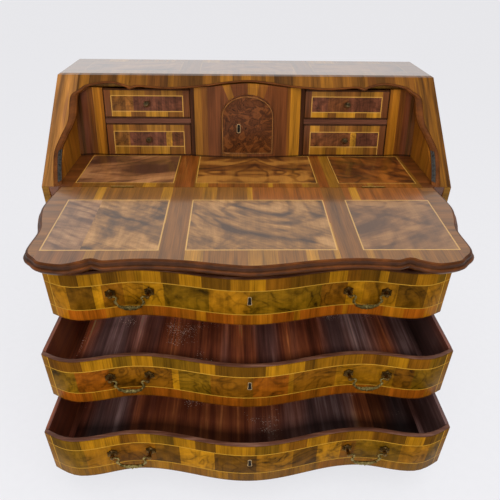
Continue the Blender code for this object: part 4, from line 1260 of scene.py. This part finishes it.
def build_long_drawers(rim):
    """Long drawer fronts in banded veneer; each veneer is given by its right-hand edge and its wood."""
    upper_top = ((-0.4755, GOLD), (-0.427, DARK), (-0.370, GOLD), (-0.3326, DARK), (-0.292, HONEY),
                 (-0.225, GOLD), (-0.1766, DARK), (-0.123, GOLD), (-0.048, DARK), (-0.0025, HONEY),
                 (0.0346, GOLD), (0.0995, BROWN), (0.200, DARK), (0.249, GOLD), (0.2815, BROWN),
                 (0.330, DARK), (0.350, GOLD), (0.421, DARK), (0.473, HONEY), (0.55, OLIVE))
    upper_field = ((-0.460, HONEY), (-0.396, DARK), (-0.3756, GOLD), (-0.325, BROWN), (-0.271, HONEY),
                   (-0.2225, GOLD), (-0.105, OLIVE), (0.0, HONEY), (0.1805, OLIVE), (0.253, BROWN),
                   (0.293, GOLD), (0.382, HONEY), (0.4546, DARK), (0.55, HONEY))
    upper_bottom = ((-0.469, GOLD), (-0.375, RUST), (-0.320, HONEY), (-0.2546, BROWN), (-0.183, RUST),
                    (-0.141, BROWN), (-0.115, GOLD), (-0.040, RUST), (0.002, BROWN), (0.057, HONEY),
                    (0.1125, RUST), (0.130, GOLD), (0.246, RUST), (0.262, GOLD), (0.356, RUST),
                    (0.408, HONEY), (0.460, RUST), (0.55, GOLD))
    middle_top = ((-0.417, BROWN), (-0.3456, GOLD), (-0.300, OLIVE), (-0.245, GOLD), (-0.128, OLIVE),
                  (-0.087, GOLD), (0.038, DARK), (0.135, GOLD), (0.161, DARK), (0.285, HONEY),
                  (0.350, BROWN), (0.398, GOLD), (0.4537, BROWN), (0.55, OLIVE))
    middle_field = ((-0.440, OLIVE), (-0.360, RUST), (-0.198, BROWN), (-0.184, GOLD), (-0.100, OLIVE),
                    (0.008, BROWN), (0.096, RUST), (0.110, HONEY), (0.220, BROWN), (0.370, HONEY),
                    (0.419, BROWN), (0.55, OLIVE))
    middle_bottom = ((-0.490, HONEY), (-0.410, RUST), (-0.350, HONEY), (-0.260, BROWN), (-0.180, RUST),
                     (-0.105, BROWN), (-0.020, RUST), (0.060, BROWN), (0.135, RUST), (0.210, BROWN),
                     (0.285, RUST), (0.370, BROWN), (0.460, RUST), (0.55, HONEY))
    lower_top = ((-0.427, OLIVE), (-0.333, GOLD), (-0.2906, BROWN), (-0.2568, GOLD), (-0.196, OLIVE),
                 (-0.141, GOLD), (-0.089, DARK), (0.0115, GOLD), (0.070, OLIVE), (0.096, HONEY),
                 (0.145, BROWN), (0.200, GOLD), (0.2455, BROWN), (0.317, HONEY), (0.3625, BROWN),
                 (0.3995, DARK), (0.4437, GOLD), (0.476, DARK), (0.55, OLIVE))
    lower_field = ((-0.425, OLIVE), (-0.360, HONEY), (-0.247, BROWN), (-0.182, DARK), (-0.093, GOLD),
                   (0.016, DARK), (0.109, HONEY), (0.174, DARK), (0.239, GOLD), (0.279, BROWN),
                   (0.393, OLIVE), (0.466, HONEY), (0.55, OLIVE))
    lower_bottom = ((-0.427, OLIVE), (-0.344, HONEY), (-0.264, BROWN), (-0.206, GOLD), (-0.115, BROWN),
                    (-0.0567, GOLD), (0.0115, DARK), (0.080, HONEY), (0.119, BROWN), (0.127, GOLD),
                    (0.184, HONEY), (0.256, RUST), (0.340, BROWN), (0.410, HONEY), (0.55, OLIVE))
    # Per drawer: its three rows of woods, the painted shade that dims its whole front, and the painted light
    # gain and wood of its lower band
    woods = {"upper": (upper_top, upper_field, upper_bottom, 1.0, (1.50, RUST)),
             "middle": (middle_top, middle_field, middle_bottom, 0.87, (1.28, RUST)),
             "lower": (lower_top, lower_field, lower_bottom, 0.85, (1.08, HONEY))}
    for drawer, level, _ in LONG_DRAWERS:
        node = drawer + "_drawer_front"
        veneer = drawer_front_finish(drawer + "_front_veneer", level, *woods[drawer])
        mesh = softened(node, 0.0012, faces_front)
        piece("veneered_" + node, mesh, [rim, veneer], drawer + "_drawer", (node,))


def is_small_front(polygon):
    """Whether a face belongs to the front of a small drawer."""
    return polygon.normal.y < -0.8 and polygon.center.y < HINGE_Y + SMALL_FRONT_BACK


def build_small_drawers(box_wood):
    """Fronts of the four small drawers; each veneer is given by its right-hand edge and its wood."""
    fronts = {
        "upper_left": (((-0.30, HONEY), (-0.25, BROWN), (-0.21, HONEY), (0.55, BROWN)),
                       ((-0.334, BROWN), (0.55, WINE)),
                       ((-0.341, GOLD), (-0.297, BROWN), (-0.236, GOLD), (0.55, BROWN))),
        "upper_right": (((0.25, HONEY), (0.33, BROWN), (0.55, HONEY)),
                        ((0.235, WINE), (0.294, PLUM), (0.55, WINE)),
                        ((0.235, GOLD), (0.262, BROWN), (0.317, GOLD), (0.352, BROWN), (0.55, GOLD))),
        "lower_left": (((-0.350, HONEY), (-0.297, BROWN), (-0.241, HONEY), (-0.228, BROWN), (0.55, HONEY)),
                       ((-0.350, BROWN), (-0.241, WINE), (-0.226, GOLD), (0.55, PLUM)),
                       ((-0.353, HONEY), (-0.318, BROWN), (-0.269, HONEY), (-0.235, GOLD), (0.55, BROWN))),
        "lower_right": (((0.214, GOLD), (0.262, BROWN), (0.30, HONEY), (0.34, BROWN), (0.55, HONEY)),
                        ((0.308, PLUM), (0.324, GOLD), (0.55, WINE)),
                        ((0.233, HONEY), (0.27, BROWN), (0.30, GOLD), (0.352, HONEY), (0.55, BROWN)))}
    for tier, level, height in SMALL_DRAWERS:
        lines = (0.0205, 0.0605) if tier == "upper" else (0.0285, 0.0685)
        for side, sign in SIDES:
            name = f"{tier}_{side}"
            node = name + "_small_drawer"
            centre = sign * SMALL_DRAWER_AT
            veneer = small_drawer_finish(name + "_small_veneer", centre, level, height, *lines, *fronts[name])
            mesh = softened(node, 0.0008, is_small_front)
            piece("veneered_" + node, mesh, [box_wood, veneer], node, (node,))


def dress(finish, *nodes):
    """Give solids whose shape is right a better finish."""
    for node in nodes:
        for slot in NODES[node].material_slots:
            slot.material = finish


def set_camera():
    """The camera at the photograph's angle."""
    yaw, pitch, roll = (math.radians(turn) for turn in CAMERA_TURNS)
    forward = Vector((math.sin(yaw) * math.cos(pitch), math.cos(yaw) * math.cos(pitch), -math.sin(pitch)))
    right = Vector((math.cos(yaw), -math.sin(yaw), 0.0))
    down = forward.cross(right)
    across = math.cos(roll) * right + math.sin(roll) * down
    up = math.sin(roll) * right - math.cos(roll) * down
    data = bpy.data.cameras.new("camera")
    data.sensor_width = SENSOR_WIDTH
    data.lens = LENS
    camera = placed("camera", data)
    turn = Matrix((across, up, -forward)).transposed().to_4x4()
    camera.matrix_world = Matrix.Translation(CAMERA_PLACE) @ turn
    bpy.context.scene.camera = camera


def soft_lamp(name, place, target, size, power):
    """A large soft lamp that points at a place."""
    data = bpy.data.lights.new(name, "AREA")
    data.shape = "SQUARE"
    data.size = size
    data.energy = power
    lamp = placed(name, data)
    towards = Vector(target) - Vector(place)
    lamp.rotation_euler = towards.to_track_quat("-Z", "Y").to_euler()
    lamp.location = place
    lamp.visible_glossy = False


def set_light():
    """Soft studio light: an even surround, white to the camera and graded in the varnish, and two lamps."""
    world = bpy.data.worlds.new("studio")
    bpy.context.scene.world = world
    world.use_nodes = True
    world.node_tree.nodes.clear()
    nodes = Nodes(world.node_tree)

    def background(colour, strength):
        return nodes.make("ShaderNodeBackground", {}, {"Color": colour, "Strength": strength})

    def graded(place, span, low, high):
        sockets = {"Value": place, "From Min": -span, "From Max": span, "To Min": low, "To Max": high}
        return nodes.make("ShaderNodeMapRange", {}, sockets, "Result")

    def swapped(ray, usual, other):
        share = nodes.make("ShaderNodeLightPath", {}, {}, ray)
        return nodes.make("ShaderNodeMixShader", {}, {"Fac": share, "Shader": usual, "Shader_001": other})

    x, y, _ = nodes.split(nodes.make("ShaderNodeTexCoord", {}, {}, "Generated"))
    around = background((1.0, 0.98, 0.95, 1.0), 0.55)
    mirrored = background((0.8, 0.8, 0.8, 1.0), graded(y, 0.35, 0.12, 1.0) * graded(x, 0.40, 1.0, 0.80))
    surround = swapped("Is Glossy Ray", around, mirrored)
    surround = swapped("Is Camera Ray", surround, background(STUDIO_WHITE, 1.0))
    nodes.make("ShaderNodeOutputWorld", {}, {"Surface": surround})
    soft_lamp("front_lamp", (-0.8, -3.4, 1.2), (0.0, -0.2, 0.6), 2.4, 62.0)
    soft_lamp("high_lamp", (0.6, -1.4, 3.4), (0.0, 0.0, 0.6), 2.4, 45.0)


def lay_floor():
    """A plain pale floor."""
    shape = bmesh.new()
    bmesh.ops.create_grid(shape, x_segments=4, y_segments=4, size=30.0)
    mesh = smooth_mesh(shape, "floor")
    finish = Finish("pale_floor", 0.7)
    speck = finish.noise(finish.place, 40.0, 3.0)
    finish.set_colour(finish.ramp(speck, shades((0.3, 226, 226, 230), (0.7, 232, 232, 236))))
    seen = 0.75 * finish.make("ShaderNodeLightPath", {}, {}, "Is Camera Ray")
    glow = finish.make("ShaderNodeEmission", {}, {"Color": STUDIO_WHITE})
    lit = Wire(finish, finish.shader.outputs[0])
    surface = finish.make("ShaderNodeMixShader", {}, {"Fac": seen, "Shader": lit, "Shader_001": glow})
    finish.plug(finish.tree.nodes["Material Output"].inputs["Surface"], surface)
    mesh.materials.append(finish.material)
    placed("floor", mesh)


set_camera()
set_light()
lay_floor()

dark_moulding = moulding_finish("dark_moulding", tone(114, 62, 20), tone(76, 39, 12))
flap_moulding = flap_edge_finish("flap_edge_moulding", tone(90, 47, 14), tone(52, 26, 8))
old_brass = brass_finish("old_brass", tone(82, 60, 34), tone(166, 130, 70))
rubbed_brass = brass_finish("rubbed_brass", tone(108, 92, 46), tone(214, 194, 122))
knob_brass = brass_finish("knob_brass", tone(100, 82, 56), tone(196, 170, 122))
# The hinges' brass is painted lighter than the rest, to lift the shade in the gap round them
hinge_brass = brass_finish("hinge_brass", tone(190, 140, 70), tone(230, 184, 104))
steel = brass_finish("dull_steel", tone(76, 73, 70), tone(122, 118, 112))
bone = bone_finish()
keyhole_dark = shadow_finish()
rim_wood = rim_finish()
tray_wood = stained_finish()
box_wood = straight_veneer("small_drawer_wood", PLUM, UMBER, "y")
upright_walnut = straight_veneer("upright_walnut", BROWN, DARK, "z")
level_walnut = straight_veneer("level_walnut", BROWN, DARK, "x")
support_walnut = straight_veneer("support_walnut", HONEY, BROWN, "y")
divider_walnut = straight_veneer("divider_walnut", tone(106, 63, 42), tone(76, 43, 30), "x")
turned_walnut = straight_veneer("turned_walnut", DARK, UMBER, "z")
door_burl = burl_finish("door_burl", tone(112, 62, 26), tone(84, 44, 18), tone(42, 21, 10), 17.0)
pale_bead = straight_veneer("pale_bead", tone(146, 98, 50), tone(104, 62, 30), "z")

dress(side_finish(), "left_side", "right_side")
dress(back_finish(), "back_panel")
dress(top_finish(), "top_board")
dress(bed_finish(), "writing_bed")
dress(level_walnut, "bottom_board", "lower_rail_board", "upper_rail_board", "support_board", "frieze_rail")
dress(support_walnut, "left_flap_support", "right_flap_support")
dress(divider_walnut, "left_shelf", "right_shelf")
dress(upright_walnut, "left_partition", "right_partition")
dress(centre_panel_finish(), "centre_panel")
dress(wing_finish("left_wing_veneer", -1.0), "left_wing")
dress(wing_finish("right_wing_veneer", 1.0), "right_wing")
dress(tray_wood, "upper_drawer_tray", "middle_drawer_tray", "lower_drawer_tray")
dress(hinge_brass, "flap_hinge_left", "flap_hinge_right")

build_slanted_frame(slant_finish(), dark_moulding)
build_flap(flap_finish(), flap_moulding)
build_long_drawers(rim_wood)
build_small_drawers(box_wood)
build_door(door_burl, dark_moulding, pale_bead)
build_knobs(knob_brass)
build_feet(turned_walnut)
build_stay_plates(steel)
hang_handles(old_brass, rubbed_brass)
set_keyholes(bone, keyhole_dark)

bpy.context.scene.view_settings.view_transform = "Standard"
